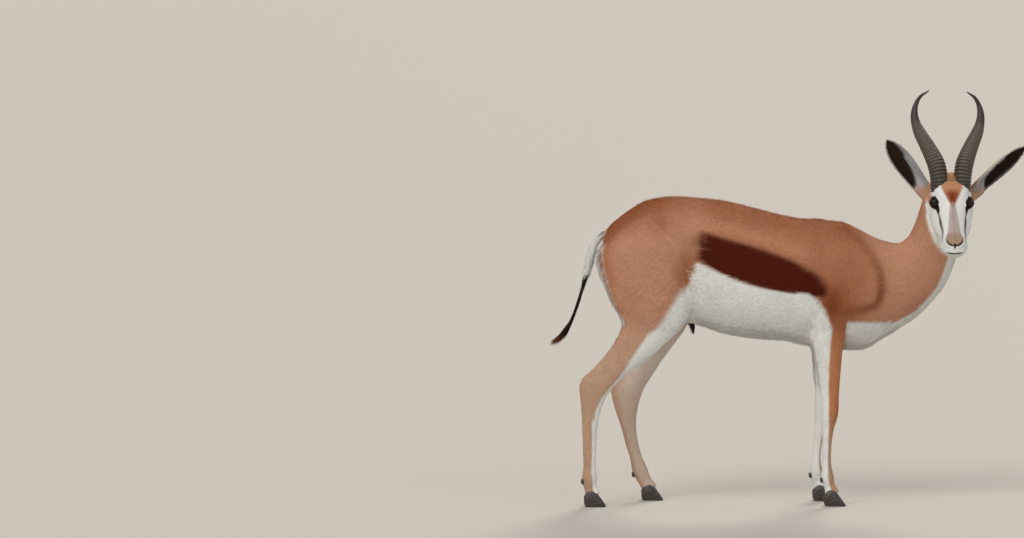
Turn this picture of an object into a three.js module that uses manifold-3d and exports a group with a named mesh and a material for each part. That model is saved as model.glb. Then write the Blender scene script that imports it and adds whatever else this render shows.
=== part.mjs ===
// A springbok ram, life size, standing side-on with its head turned to its right.
// Millimetres. +X is the way the body faces, +Y its left side, +Z up, and the floor is z = 0.
// Flesh is lofted through ovals, fused into one body and then parted by thin cuts where a person
// would name its parts. Horns, hooves, eyes and ears are forms of their own.

import * as THREE from 'three';
import { mergeVertices } from 'three/addons/utils/BufferGeometryUtils.js';
import Module from 'manifold-3d';

const wasm = await Module();
wasm.setup();

// Gap between parts that touch.
const GAP = 0.3;

// Where the middle of the whole animal's box lies in the drawing's own frame.
const BOX_MIDDLE = [2, -34.8];

// Trunk and neck, tail end first. Each row is one oval from its crest to its keel:
// crest x, crest z, keel x, keel z, middle y, half width, sag of the widest place,
// edge of the crest and of the keel (1 is round, more is keener, less is flatter).
const TRUNK = [
  [-500, 742, -505, 692, 0, 22, 0, 1, 1],
  [-480, 763, -492, 645, 0, 55, 0, 1, 1],
  [-440, 795, -462, 590, 0, 78, 0, 1, 1],
  [-392, 823, -418, 532, 0, 92, 0, 1, 1],
  [-343, 834, -362, 500, 0, 98, 0, 1, 1],
  [-300, 836, -308, 489, 0, 101, 0, 1, 1],
  [-243, 832, -250, 484, 0, 105, -0.02, 1, 1],
  [-175, 824, -175, 460, 0, 112, -0.06, 1.05, 1],
  [-91, 804, -91, 447, 0, 119, -0.1, 1.1, 1],
  [-7, 783, -7, 440, 0, 120, -0.12, 1.15, 1],
  [41, 776, 40, 429, 0, 116, -0.12, 1.2, 1],
  [76, 776, 80, 423, 0, 110, -0.1, 1.3, 1.05],
  [109, 771, 115, 419, 0, 103, -0.08, 1.3, 1.1],
  [147, 766, 154, 416, 0, 95, -0.06, 1.25, 1.15],
  [185, 749, 204, 419, 0, 86, -0.04, 1.2, 1.2],
  [226, 727, 250, 445, 0, 77, 0, 1.15, 1.2],
  [262, 714, 300, 475, 0, 70, 0, 1.1, 1.15],
  [295, 711, 350, 509, 0, 65, 0, 1.1, 1.1],
  [319, 727, 391, 552, -1, 61, 0, 1.05, 1.05],
  [332, 750, 416, 583, -3, 58, 0, 1, 1],
  [342, 775, 434, 618, -6, 56, 0, 1, 1],
  [352, 808, 450, 662, -10, 55, 0, 1, 1],
  [363, 845, 462, 705, -14, 53, 0, 1, 1],
  [385, 873, 470, 750, -18, 49, 0, 1, 1],
  [410, 882, 472, 800, -20, 38, 0, 1, 1],
];

// Hind legs, croup to coronet. Here the crest is the front edge and the keel the rear edge.
const THIGH = [
  [-310, 775, -430, 775, 50, 40, 0, 1, 1],
  [-268, 705, -492, 722, 58, 50, 0, 0.95, 0.9],
  [-256, 650, -518, 680, 63, 54, 0, 0.95, 0.9],
  [-258, 595, -516, 636, 67, 53, 0, 0.95, 0.9],
];

const HIND_RIGHT = [
  ...THIGH,
  [-264, 548, -502, 596, 71, 49, 0, 1, 0.95],
  [-273, 512, -486, 556, 74, 44, 0, 1, 0.95],
  [-295, 478, -466, 520, 77, 38, 0, 1, 1],
  [-335, 441, -457, 494, 79, 33, 0, 1.05, 1.05],
  [-373, 405, -464, 467, 80, 29, 0, 1.1, 1.1],
  [-415, 374, -481, 438, 80, 25, 0.1, 1.1, 1.2],
  [-448, 350, -507, 404, 80, 22, 0.15, 1, 1.25],
  [-474, 325, -536, 372, 80, 20, 0.2, 1, 1.25],
  [-494, 299, -563, 347, 80, 20, 0.2, 1, 1.1],
  [-507, 270, -570, 320, 80, 19, 0.2, 1, 1.05],
  [-515, 240, -566, 272, 80, 17, 0.1, 1, 1],
  [-520, 200, -563, 212, 80, 15, 0, 1, 1],
  [-523, 150, -561, 152, 80, 13.5, 0, 1, 1],
  [-524, 110, -560, 108, 80, 14.5, 0, 1, 1],
  [-521, 82, -563, 70, 80, 18.5, 0, 1, 1],
  [-521, 58, -556, 44, 80, 16.5, 0, 1, 1],
  [-512, 40, -553, 25, 80, 19, 0, 1, 1],
  [-508, 30, -550, 16, 80, 19, 0, 1, 1],
];

const HIND_LEFT = [
  ...THIGH,
  [-262, 548, -496, 596, 71, 49, 0, 1, 0.95],
  [-264, 508, -474, 560, 74, 44, 0, 1, 0.95],
  [-275, 472, -446, 530, 77, 38, 0, 1, 1],
  [-296, 441, -424, 506, 79, 33, 0, 1.05, 1.05],
  [-320, 409, -421, 474, 80, 29, 0, 1.1, 1.1],
  [-345, 375, -433, 432, 80, 25, 0.1, 1.1, 1.2],
  [-368, 340, -451, 392, 80, 22, 0.15, 1, 1.25],
  [-386, 312, -471, 358, 80, 20, 0.2, 1, 1.25],
  [-398, 285, -486, 323, 80, 20, 0.2, 1, 1.1],
  [-405, 260, -481, 288, 80, 19, 0.2, 1, 1.05],
  [-410, 232, -471, 248, 80, 17, 0.1, 1, 1],
  [-411, 200, -456, 204, 80, 15, 0, 1, 1],
  [-406, 160, -443, 156, 80, 13.5, 0, 1, 1],
  [-396, 122, -430, 113, 80, 14.5, 0, 1, 1],
  [-382, 90, -422, 72, 80, 18.5, 0, 1, 1],
  [-371, 62, -405, 43, 80, 16.5, 0, 1, 1],
  [-355, 41, -396, 25, 80, 19, 0, 1, 1],
  [-350, 31, -392, 16, 80, 19, 0, 1, 1],
];

// Forelegs, shoulder to coronet, front edge then rear edge.
const SHOULDER = [
  [150, 700, 60, 700, 40, 36, 0, 1.1, 1.1],
  [186, 630, 44, 640, 56, 42, 0, 1.1, 1.1],
  [188, 565, 36, 575, 62, 44, 0, 1.1, 1.1],
  [168, 510, 38, 515, 66, 42, 0, 1.1, 1.1],
  [150, 470, 48, 462, 68, 36, 0, 1.05, 1.05],
  [144, 432, 60, 418, 68, 30, 0, 1, 1],
];

const FORE_RIGHT = [
  ...SHOULDER,
  [140, 392, 67, 382, 67, 26, 0, 1, 1],
  [136, 345, 73, 337, 66, 22, 0, 1, 1],
  [133, 300, 79, 295, 65, 20, 0, 1, 1],
  [132, 268, 82, 262, 64, 21.5, 0, 0.9, 1],
  [129, 243, 83, 236, 64, 20.5, 0, 0.9, 1],
  [121, 217, 85, 210, 64, 17, 0, 1, 1],
  [115, 185, 86, 180, 64, 14, 0, 1, 1],
  [112, 150, 87, 148, 64, 13, 0, 1, 1],
  [112, 115, 86, 113, 64, 13.5, 0, 1, 1],
  [118, 84, 83, 72, 64, 17.5, 0, 1, 1],
  [122, 60, 92, 46, 64, 15.5, 0, 1, 1],
  [133, 41, 95, 25, 64, 18, 0, 1, 1],
  [137, 31, 98, 16, 64, 18, 0, 1, 1],
];

const FORE_LEFT = [
  ...SHOULDER,
  [137, 392, 65, 382, 67, 26, 0, 1, 1],
  [131, 345, 69, 337, 66, 22, 0, 1, 1],
  [126, 300, 72, 295, 65, 20, 0, 1, 1],
  [122, 268, 73, 262, 64, 21.5, 0, 0.9, 1],
  [118, 243, 72, 236, 64, 20.5, 0, 0.9, 1],
  [108, 217, 72, 210, 64, 17, 0, 1, 1],
  [100, 185, 71, 180, 64, 14, 0, 1, 1],
  [94, 150, 69, 148, 64, 13, 0, 1, 1],
  [91, 115, 65, 113, 64, 13.5, 0, 1, 1],
  [95, 84, 60, 72, 64, 17.5, 0, 1, 1],
  [99, 60, 69, 46, 64, 15.5, 0, 1, 1],
  [110, 41, 72, 25, 64, 18, 0, 1, 1],
  [114, 31, 75, 16, 64, 18, 0, 1, 1],
];

// Head, poll to nose, in the head's own frame: +x along the face, +y its left, +z out of the brow.
const POLL = [431.5, -32, 888];
const HEAD_PITCH = 41;
const HEAD_TURN = 90;
const HEAD = [
  [-22, -20, -18, -62, 0, 22, 0, 1, 1],
  [-12, -4, -8, -84, 0, 38, 0, 1, 1],
  [2, 7, 8, -100, 0, 48, 0, 0.9, 1],
  [25, 14, 30, -113, 0, 57, 0, 0.68, 1],
  [50, 16, 54, -120, 0, 61, 0, 0.6, 0.8],
  [75, 10, 78, -121, 0, 59, 0, 0.78, 0.75],
  [100, 3, 102, -116, 0, 54, -0.1, 1, 0.75],
  [125, -4, 127, -107, 0, 50, -0.14, 1.15, 0.75],
  [150, -9, 151, -97, 0, 45, -0.14, 1.2, 0.8],
  [175, -13, 175, -89, 0, 40, -0.1, 1.15, 0.9],
  [200, -17, 199, -84, 0, 36, 0, 1, 1],
  [218, -21, 216, -82, 0, 34, 0, 0.9, 1],
  [231, -27, 228, -79, 0, 29, 0, 0.9, 1],
  [241, -37, 237, -70, 0, 20, 0, 1, 1],
  [245, -48, 243, -58, 0, 8, 0, 1, 1],
];

// Eyes and lids, in the head's frame; the opening runs from its rear corner to its front one.
const EYE_RADIUS = 16;
const EYE_PLACE = [78, 42, -22];
const EYE_LOOK = [0.5, 0.7, 0.5];
const EYE_CORNERS = [0.83, -0.55, -0.06];
const LID = 3.2;
const ORBIT = { place: [72, 34, -27], reach: [36, 21, 25] };
const OPENING = [15.5, 10];

// Mouth and nose, in the head's frame.
const MOUTH = { corner: 188, front: 255, height: -55, rise: 14, slit: 2, depth: 7, lip: 6, fullness: 1.6 };
const NOSTRIL = [
  [211, 23, -26],
  [219, 21.5, -27.5],
  [228, 17, -30.5],
  [235, 9, -33.5],
];
const NOSTRIL_HALF = 2.6;

// Horns: out from the head's middle, back and up from the poll, and the half width there.
const HORN = [
  [30, -17, -46, 22],
  [31, -16, -28, 23.5],
  [32.5, -13, 0, 23.5],
  [38, -1, 32, 23.5],
  [49.5, 20, 60, 21.5],
  [63.5, 42, 88, 19],
  [78, 62, 115, 16.3],
  [88, 77, 141, 13.3],
  [91.5, 88, 167, 10.3],
  [87, 93, 192, 7],
  [75.5, 93, 213, 4.7],
  [52, 88, 230, 1.4],
];
const HORN_RINGS = 20;
const HORN_RIDGE = 0.07;
const HORN_RINGED_SHARE = 0.66;
const HORN_DEPTH = 1.12;

// The left horn stands a little closer and lower than the right one: shares of its out and up.
const HORN_SHARES = { right: [1, 1], left: [0.965, 0.985] };

// Ears: root and tip in the drawing's frame, the way the cup opens, and its size along the ear.
const EARS = {
  ear_right: { root: [384, -8, 824], tip: [264, 34, 984], opens: [0.05, -1, 0.15] },
  ear_left: { root: [478, -4, 827], tip: [640, 40, 965], opens: [0.44, -0.75, -0.5] },
};
const EAR = [
  [0, 19, 15, 15],
  [0.12, 22, 16, 16],
  [0.22, 25, 17, 15],
  [0.34, 28, 18, 12],
  [0.47, 31, 19, 9],
  [0.6, 33, 18, 6],
  [0.72, 31.5, 15, 4],
  [0.83, 26, 11, 3],
  [0.92, 18, 7, 2.2],
  [0.98, 8, 3, 1.4],
  [1, 2.5, 1.4, 1],
];
const EAR_WALL = 3;
const EAR_CUT = 0.22;
const CUP_START = 0.26;

// Tail, root to tip: path point and half width.
const TAIL = [
  [-488, 735, 12],
  [-507, 733, 11],
  [-524, 714, 14],
  [-535, 690, 16],
  [-541, 660, 15],
  [-548, 630, 11],
  [-556, 600, 7],
  [-567, 560, 6],
  [-579, 525, 6],
  [-588, 500, 7],
  [-597, 483, 9],
  [-608, 465, 7],
  [-622, 450, 4],
  [-637, 441, 1],
];

// Long hair of the tail, in flat locks: where on the tail's rows the roots lie, how many there are,
// their length, half width, half thickness and how far the tips stand off.
const TAIL_HAIR = { from: 1.2, to: 4.6, count: 13, length: [52, 78], wide: 5.5, thin: 1.7, spread: 0.16 };
const TUFT_HAIR = { from: 9.5, to: 10.7, count: 10, length: [34, 52], wide: 4.4, thin: 1.6, spread: 0.16 };
const HAIR_SEED = 7;

// Small claws behind each fetlock: back from the rear edge, apart, and their three half sizes.
const DEWCLAW = { back: 1, apart: 7.5, reach: [5, 4, 7] };

const SHEATH = { x: -266, root: 500, cut: 482.5, tip: 473, half: 7 };

// Where thin cuts part the body.
const NECK_CUT = { centre: [392, -4, 700], faces: [0.76, -0.42, 0.5] };
const NECK_ROW = 15;
const TUFT_ROW = 9;
const HORN_CUT = { out: 31, back: -12, up: 4, slope: 31 };

// Hoof: one claw, heel to toe, as ovals from the front wall to the sole.
const CLAW = [
  [0, 26, 1, 6, 0, 6, 0, 1, 1],
  [7, 38, 8, -5, 0, 9, 0, 1, 0.7],
  [20, 46, 22, -7, 0, 10, 0, 1, 0.7],
  [35, 36, 37, -7, 0, 9.6, 0, 1, 0.7],
  [47, 20, 48, -6, 0, 7.8, 0, 1, 0.7],
  [55, 9, 55.5, -4, 0, 4.6, 0, 1, 0.8],
  [59, 3, 59, -1, 0, 1.6, 0, 1, 1],
];
const CLAW_SPREAD = 10.6;
const CLAW_SPLAY = 3;

const FINISHES = {
  horn: { colour: 0x463c37, roughness: 0.6, names: ['horn_'] },
  hoof: { colour: 0x2a2522, roughness: 0.5, names: ['hoof_'] },
  eye: { colour: 0x140c08, roughness: 0.1, names: ['eye_'] },
  dark_hair: { colour: 0x3a1a10, roughness: 0.8, names: ['tail_tuft', 'sheath'] },
  white_hair: { colour: 0xdfe3e6, roughness: 0.8, names: ['tail', 'head'] },
  fawn_hair: { colour: 0xa8725a, roughness: 0.8, names: [''] },
};

// Closed surface over rings of points, each end closed by a fan to the ring's middle.
function skinOver(rings) {
  const around = rings[0].length;
  const positions = rings.flat().flatMap((p) => [p.x, p.y, p.z]);
  const faces = [];
  for (let i = 0; i + 1 < rings.length; i += 1) {
    for (let j = 0; j < around; j += 1) {
      const a = i * around + j;
      const b = i * around + ((j + 1) % around);
      faces.push(a, b, b + around, a, b + around, a + around);
    }
  }
  for (const [start, flip] of [[0, false], [(rings.length - 1) * around, true]]) {
    const middle = new THREE.Vector3();
    rings[start / around].forEach((p) => middle.addScaledVector(p, 1 / around));
    const hub = positions.length / 3;
    positions.push(middle.x, middle.y, middle.z);
    for (let j = 0; j < around; j += 1) {
      const a = start + j;
      const b = start + ((j + 1) % around);
      faces.push(...(flip ? [a, b, hub] : [b, a, hub]));
    }
  }
  const geometry = new THREE.BufferGeometry();
  geometry.setAttribute('position', new THREE.Float32BufferAttribute(positions, 3));
  geometry.setIndex(faces);
  return geometry;
}

function signedVolume(geometry) {
  const position = geometry.getAttribute('position');
  const index = geometry.getIndex();
  const [a, b, c] = [new THREE.Vector3(), new THREE.Vector3(), new THREE.Vector3()];
  let sum = 0;
  for (let i = 0; i < index.count; i += 3) {
    a.fromBufferAttribute(position, index.getX(i));
    b.fromBufferAttribute(position, index.getX(i + 1));
    c.fromBufferAttribute(position, index.getX(i + 2));
    sum += a.dot(b.cross(c)) / 6;
  }
  return sum;
}

// Solid of a closed geometry, its faces turned outward first.
function solid(geometry) {
  const bare = geometry.clone();
  bare.deleteAttribute('normal');
  bare.deleteAttribute('uv');
  const merged = mergeVertices(bare, 1e-4);
  const faces = merged.getIndex().array;
  const triVerts = Uint32Array.from(faces);
  if (signedVolume(merged) < 0) triVerts.reverse();
  const vertProperties = Float32Array.from(merged.getAttribute('position').array);
  return new wasm.Manifold(new wasm.Mesh({ numProp: 3, vertProperties, triVerts }));
}

function joined(solids) {
  return solids.reduce((all, one) => all.add(one));
}

// Smooth value of one column between rows; knots are the square roots of the rows' spacing.
function between(rows, knots, column, i, t) {
  const value = (k) => rows[Math.min(Math.max(k, 0), rows.length - 1)][column];
  const knot = (k) => knots[Math.min(Math.max(k, 0), rows.length - 1)];
  const slope = (k) => {
    const before = knot(k) - knot(k - 1);
    const after = knot(k + 1) - knot(k);
    if (before === 0) return (value(k + 1) - value(k)) / after;
    if (after === 0) return (value(k) - value(k - 1)) / before;
    const left = (value(k) - value(k - 1)) / before;
    const right = (value(k + 1) - value(k)) / after;
    return (left * after + right * before) / (before + after);
  };
  const span = knot(i + 1) - knot(i);
  const [t2, t3] = [t * t, t * t * t];
  return value(i) * (2 * t3 - 3 * t2 + 1) + value(i + 1) * (3 * t2 - 2 * t3)
    + slope(i) * span * (t3 - 2 * t2 + t) + slope(i + 1) * span * (t3 - t2);
}

function refined(rows, perSpan) {
  const middle = (row) => new THREE.Vector3(row[0] + row[2], row[4], row[1] + row[3]).multiplyScalar(0.5);
  const knots = [0];
  for (let i = 1; i < rows.length; i += 1) {
    knots.push(knots[i - 1] + Math.sqrt(middle(rows[i]).distanceTo(middle(rows[i - 1]))));
  }
  const fine = [];
  for (let i = 0; i + 1 < rows.length; i += 1) {
    for (let k = 0; k < perSpan; k += 1) {
      fine.push(rows[i].map((_, column) => between(rows, knots, column, i, k / perSpan)));
    }
  }
  fine.push(rows[rows.length - 1]);
  return fine;
}

// One oval: the height runs as the cosine, pushed down by the sag, and the width as the sine,
// raised to the edge's power towards the crest and the keel.
function oval([crestX, crestZ, keelX, keelZ, middleY, half, sag, crestEdge, keelEdge], sides, inset = 0) {
  const points = [];
  const depth = Math.hypot(crestX - keelX, crestZ - keelZ) / 2;
  const shrink = Math.max(1 - inset / depth, 0.05);
  for (let j = 0; j < sides; j += 1) {
    const angle = (2 * Math.PI * j) / sides;
    const up = Math.cos(angle);
    const out = Math.sin(angle);
    const along = (up + sag * (1 - up * up)) * shrink;
    const edge = up > 0 ? 1 + (crestEdge - 1) * up : 1 + (keelEdge - 1) * -up;
    const wide = Math.sign(out) * Math.abs(out) ** edge * Math.max(half - inset, 0.5);
    points.push(new THREE.Vector3(
      (crestX + keelX) / 2 + ((crestX - keelX) / 2) * along,
      middleY + wide,
      (crestZ + keelZ) / 2 + ((crestZ - keelZ) / 2) * along,
    ));
  }
  return points;
}

function lofted(rows, sides, perSpan = 1, inset = 0) {
  return skinOver(refined(rows, perSpan).map((row) => oval(row, sides, inset)));
}

// Rows of a limb put on one side of the body: +1 its left, -1 its right.
function onSide(rows, side) {
  return rows.map((row) => row.map((value, column) => (column === 4 ? value * side : value)));
}

// Tube along a smooth path, its flat side turned by the reference; sizeAt gives the two half widths.
function swept(points, stations, sides, reference, sizeAt) {
  const curve = new THREE.CatmullRomCurve3(points.map((p) => new THREE.Vector3(...p)), false, 'centripetal');
  const facing = new THREE.Vector3(...reference);
  return skinOver(stations.map((t) => {
    const middle = curve.getPoint(t);
    const along = curve.getTangent(t);
    const across = new THREE.Vector3().crossVectors(facing, along).normalize();
    const out = new THREE.Vector3().crossVectors(along, across);
    const [wide, deep] = sizeAt(t);
    return Array.from({ length: sides }, (_, j) => {
      const angle = (2 * Math.PI * j) / sides;
      return middle.clone()
        .addScaledVector(across, wide * Math.cos(angle))
        .addScaledVector(out, deep * Math.sin(angle));
    });
  }));
}

// Value of a column of a table of [t, value, ...] at t, in straight lines.
function tableAt(table, column, t) {
  const next = Math.max(table.findIndex((row) => row[0] >= t), 1);
  const [a, b] = [table[next - 1], table[next]];
  return a[column] + ((b[column] - a[column]) * (t - a[0])) / (b[0] - a[0]);
}

function evenly(count) {
  return Array.from({ length: count + 1 }, (_, i) => i / count);
}

// Thin plate that parts two pieces: centre, the way it faces, the way its length runs, and sizes.
function slab(centre, faces, runs, length, width) {
  const thin = new THREE.Vector3(...faces).normalize();
  const wide = new THREE.Vector3().crossVectors(thin, new THREE.Vector3(...runs)).normalize();
  const long = new THREE.Vector3().crossVectors(wide, thin);
  const plate = new THREE.BoxGeometry(length, width, GAP);
  plate.applyMatrix4(new THREE.Matrix4().makeBasis(long, wide, thin).setPosition(...centre));
  return solid(plate);
}

const headFrame = new THREE.Matrix4()
  .makeTranslation(...POLL)
  .multiply(new THREE.Matrix4().makeRotationZ(THREE.MathUtils.degToRad(-HEAD_TURN)))
  .multiply(new THREE.Matrix4().makeRotationY(THREE.MathUtils.degToRad(HEAD_PITCH)));

function inHead(geometry) {
  return solid(geometry.applyMatrix4(headFrame));
}

function pointInHead(point) {
  return new THREE.Vector3(...point).applyMatrix4(headFrame);
}

// Head

function eyeCentre(side) {
  return pointInHead([EYE_PLACE[0], EYE_PLACE[1] * side, EYE_PLACE[2]]);
}

function eyeball(side, grow) {
  const ball = new THREE.SphereGeometry(EYE_RADIUS + grow, 14, 10);
  return solid(ball.translate(...eyeCentre(side)));
}

// Place given as out from the head's middle, back and up from the poll, with the head's turn only.
function fromPoll(out, back, up) {
  return new THREE.Vector3(-back, out, up)
    .applyAxisAngle(new THREE.Vector3(0, 0, 1), THREE.MathUtils.degToRad(-HEAD_TURN))
    .add(new THREE.Vector3(...POLL))
    .toArray();
}

function hornPath(side) {
  const [outShare, upShare] = side > 0 ? HORN_SHARES.left : HORN_SHARES.right;
  return HORN.map(([out, back, up]) => fromPoll(out * outShare * side, back, up * upShare));
}

function horn(side) {
  const sizes = HORN.map((row, i) => [i / (HORN.length - 1), row[3]]);
  const ringed = evenly(2 * HORN_RINGS).map((t) => t * HORN_RINGED_SHARE);
  const smooth = evenly(6).slice(1).map((t) => HORN_RINGED_SHARE + t * (1 - HORN_RINGED_SHARE));
  return solid(swept(hornPath(side), [...ringed, ...smooth], 11, [0, 1, 0], (t) => {
    const ring = Math.round((t / HORN_RINGED_SHARE) * 2 * HORN_RINGS);
    const ridge = t < HORN_RINGED_SHARE && ring % 2 ? HORN_RIDGE : 0;
    const half = tableAt(sizes, 1, t) * (1 + ridge);
    return [half, half * HORN_DEPTH];
  }));
}

function earShape({ root, tip, opens }, sizeAt, stations, sides) {
  const from = new THREE.Vector3(...root);
  const along = new THREE.Vector3(...tip).sub(from);
  const across = new THREE.Vector3().crossVectors(along, new THREE.Vector3(...opens)).normalize();
  const front = new THREE.Vector3().crossVectors(across, along).normalize();
  return skinOver(stations.map((t) => {
    const [wide, back, fore] = sizeAt(t);
    const middle = from.clone().addScaledVector(along, t);
    return Array.from({ length: sides }, (_, j) => {
      const angle = (2 * Math.PI * j) / sides;
      const reach = Math.sin(angle) > 0 ? back : fore;
      return middle.clone()
        .addScaledVector(across, wide * Math.cos(angle))
        .addScaledVector(front, -reach * Math.sin(angle));
    });
  }));
}

function ear(frame) {
  const sizes = (t) => [tableAt(EAR, 1, t), tableAt(EAR, 2, t), tableAt(EAR, 3, t)];
  const leaf = solid(earShape(frame, sizes, EAR.map((row) => row[0]), 14));
  const cup = solid(earShape(frame, (t) => {
    const [wide, back, fore] = sizes(t);
    const opening = Math.min(1, (t - CUP_START + 0.08) / 0.25);
    return [Math.max(wide - EAR_WALL, 0.6) * opening, Math.max(back - EAR_WALL, 0.4), fore + 8];
  }, [CUP_START, 0.34, 0.47, 0.6, 0.72, 0.83, 0.92, 0.97], 14));
  return leaf.subtract(cup);
}

// Almond between the lids, pushed outward from the middle of the eye.
function lidOpening(side) {
  const [long, high] = OPENING;
  const shape = new THREE.Shape();
  shape.moveTo(-long, 0);
  shape.quadraticCurveTo(-long * 0.2, high * 2, long, 0);
  shape.quadraticCurveTo(0, -high * 1.6, -long, 0);
  const depth = 3 * EYE_RADIUS;
  const prism = new THREE.ExtrudeGeometry(shape, { depth, bevelEnabled: false, curveSegments: 6 });
  const look = new THREE.Vector3(...EYE_LOOK).normalize();
  const rise = new THREE.Vector3(...EYE_CORNERS).cross(look).normalize();
  const run = new THREE.Vector3().crossVectors(look, rise);
  prism.applyMatrix4(new THREE.Matrix4().makeBasis(run, rise, look).setPosition(...EYE_PLACE));
  return inHead(prism.scale(1, side, 1));
}

// Plate through the muzzle along the mouth, which rises towards the front.
function mouthPlate(thick, reach) {
  const plate = new THREE.BoxGeometry(MOUTH.front - MOUTH.corner + reach, 120, thick);
  plate.rotateY(-THREE.MathUtils.degToRad(MOUTH.rise));
  return inHead(plate.translate((MOUTH.corner + MOUTH.front) / 2, 0, MOUTH.height));
}

// Slit between the lips: the plate less the middle of the muzzle, so that only its edge cuts.
function mouthSlit() {
  return mouthPlate(MOUTH.slit, 0).subtract(inHead(lofted(HEAD, 24, 1, MOUTH.depth)));
}

// Fuller band of the lips above and below the slit.
function lips() {
  return inHead(lofted(HEAD, 24, 1, -MOUTH.fullness)).intersect(mouthPlate(2 * MOUTH.lip, 4));
}

function nostril(side) {
  const path = NOSTRIL.map(([x, y, z]) => [x, y * side, z]);
  return inHead(swept(path, evenly(5), 8, [1, 0, 0], (t) => {
    const half = NOSTRIL_HALF * (0.55 + 0.9 * t * (1.25 - t));
    return [half, half * 1.6];
  }));
}

// Swell of the brow and cheek around an eye.
function orbit(side) {
  const ball = new THREE.SphereGeometry(1, 10, 6).scale(...ORBIT.reach);
  return inHead(ball.translate(ORBIT.place[0], ORBIT.place[1] * side, ORBIT.place[2]));
}

function skullSolid() {
  const lids = [-1, 1].flatMap((side) => [orbit(side), eyeball(side, LID)]);
  const openings = [-1, 1].flatMap((side) => [eyeball(side, GAP), lidOpening(side), nostril(side)]);
  return joined([inHead(lofted(HEAD, 24)), lips(), ...lids]).subtract(joined([...openings, mouthSlit()]));
}

// Tail and sheath

function tailSolid() {
  const sizes = TAIL.map((row, i) => [i / (TAIL.length - 1), row[2]]);
  return solid(swept(TAIL.map(([x, z]) => [x, 0, z]), evenly(TAIL.length - 1), 10, [0, 1, 0], (t) => {
    const half = tableAt(sizes, 1, t);
    return [half, half * 0.8];
  }));
}

// Repeatable random numbers between 0 and 1.
function dice(seed) {
  let state = seed;
  return () => {
    state = (state * 1664525 + 1013904223) % 4294967296;
    return state / 4294967296;
  };
}

// Flat lock that tapers to a point: it leaves the root along the lie, bends and ends at the tip.
function lock(root, lie, normal, length, wide, thin, spread) {
  const tip = root.clone().addScaledVector(lie, length).addScaledVector(normal, spread * length);
  const bend = root.clone().addScaledVector(lie, 0.5 * length).addScaledVector(normal, 0.7 * spread * length);
  const path = [root, bend, tip].map((p) => p.toArray());
  return solid(swept(path, [0, 0.3, 0.65, 1], 4, normal.toArray(), (t) => {
    const size = Math.max((1 - t * t) * (0.75 + 0.5 * t), 0.08);
    return [wide * size, thin * size];
  }));
}

// Locks round a stretch of the tail, their roots sunk to the middle of its thickness.
function tailLocks({ from, to, count, length, wide, thin, spread }, seed) {
  const random = dice(seed);
  const goldenTurn = Math.PI * (3 - Math.sqrt(5));
  const across = new THREE.Vector3(0, 1, 0);
  return Array.from({ length: count }, (_, k) => {
    const place = from + ((to - from) * (k + random())) / count;
    const row = Math.floor(place);
    const share = place - row;
    const [x, z, half] = TAIL[row].map((value, column) => value + (TAIL[row + 1][column] - value) * share);
    const ahead = TAIL[Math.min(row + 2, TAIL.length - 1)];
    const lie = new THREE.Vector3(ahead[0] - x, 0, ahead[1] - z).normalize();
    const side = new THREE.Vector3().crossVectors(across, lie);
    const angle = k * goldenTurn + 0.5 * random();
    const normal = side.multiplyScalar(Math.cos(angle)).addScaledVector(across, Math.sin(angle));
    const root = new THREE.Vector3(x, 0, z).addScaledVector(normal, 0.45 * half);
    const reach = length[0] + (length[1] - length[0]) * random();
    return lock(root, lie, normal, reach, wide * (0.8 + 0.4 * random()), thin, spread * (0.4 + random()));
  });
}

function sheathSolid() {
  const { x, root, tip, half } = SHEATH;
  const path = [[x - 4, 0, root], [x, 0, (root + tip) / 2], [x + 2, 0, tip]];
  return solid(swept(path, evenly(4), 10, [0, 1, 0], (t) => {
    const size = half * Math.sqrt(Math.max(1 - t * t * 0.9, 0.01));
    return [size, size];
  }));
}

// Legs

// Each leg is cut at these rows: below the body, at the hock or knee, above the fetlock, at the coronet.
const LEGS = {
  hind_right: { rows: HIND_RIGHT, side: -1, heel: -557, cuts: [6, 13, 17, 20] },
  hind_left: { rows: HIND_LEFT, side: 1, heel: -398, cuts: [6, 13, 17, 20] },
  fore_right: { rows: FORE_RIGHT, side: -1, heel: 91, cuts: [5, 10, 14, 17] },
  fore_left: { rows: FORE_LEFT, side: 1, heel: 68, cuts: [5, 10, 14, 17] },
};

function footY({ rows, side }) {
  return rows[rows.length - 1][4] * side;
}

function claw(leg, step) {
  const shape = lofted(CLAW, 12);
  shape.rotateZ(THREE.MathUtils.degToRad(CLAW_SPLAY * step));
  shape.translate(leg.heel, footY(leg) + CLAW_SPREAD * step, 0);
  return solid(shape);
}

// Pair of small claws behind the fetlock.
function dewclaws(leg) {
  const [, , keelX, keelZ] = leg.rows[leg.cuts[2] + 1];
  return [-1, 1].map((step) => {
    const drop = new THREE.SphereGeometry(1, 6, 4).scale(...DEWCLAW.reach);
    return solid(drop.translate(keelX + DEWCLAW.back, footY(leg) + DEWCLAW.apart * step, keelZ));
  });
}

function legSolid(leg) {
  return solid(lofted(onSide(leg.rows, leg.side), 14));
}

// Cut across a limb in the plane of one oval of its table.
function acrossRow(row, y, extra, width) {
  const [crestX, crestZ, keelX, keelZ] = row;
  const runs = [crestX - keelX, 0, crestZ - keelZ];
  const length = Math.hypot(runs[0], runs[2]) + 2 * extra;
  const centre = [(crestX + keelX) / 2, y, (crestZ + keelZ) / 2];
  return slab(centre, [-runs[2], 0, runs[0]], runs, length, width);
}

function middleOf(row, y) {
  return new THREE.Vector3((row[0] + row[2]) / 2, y, (row[1] + row[3]) / 2);
}

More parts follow.
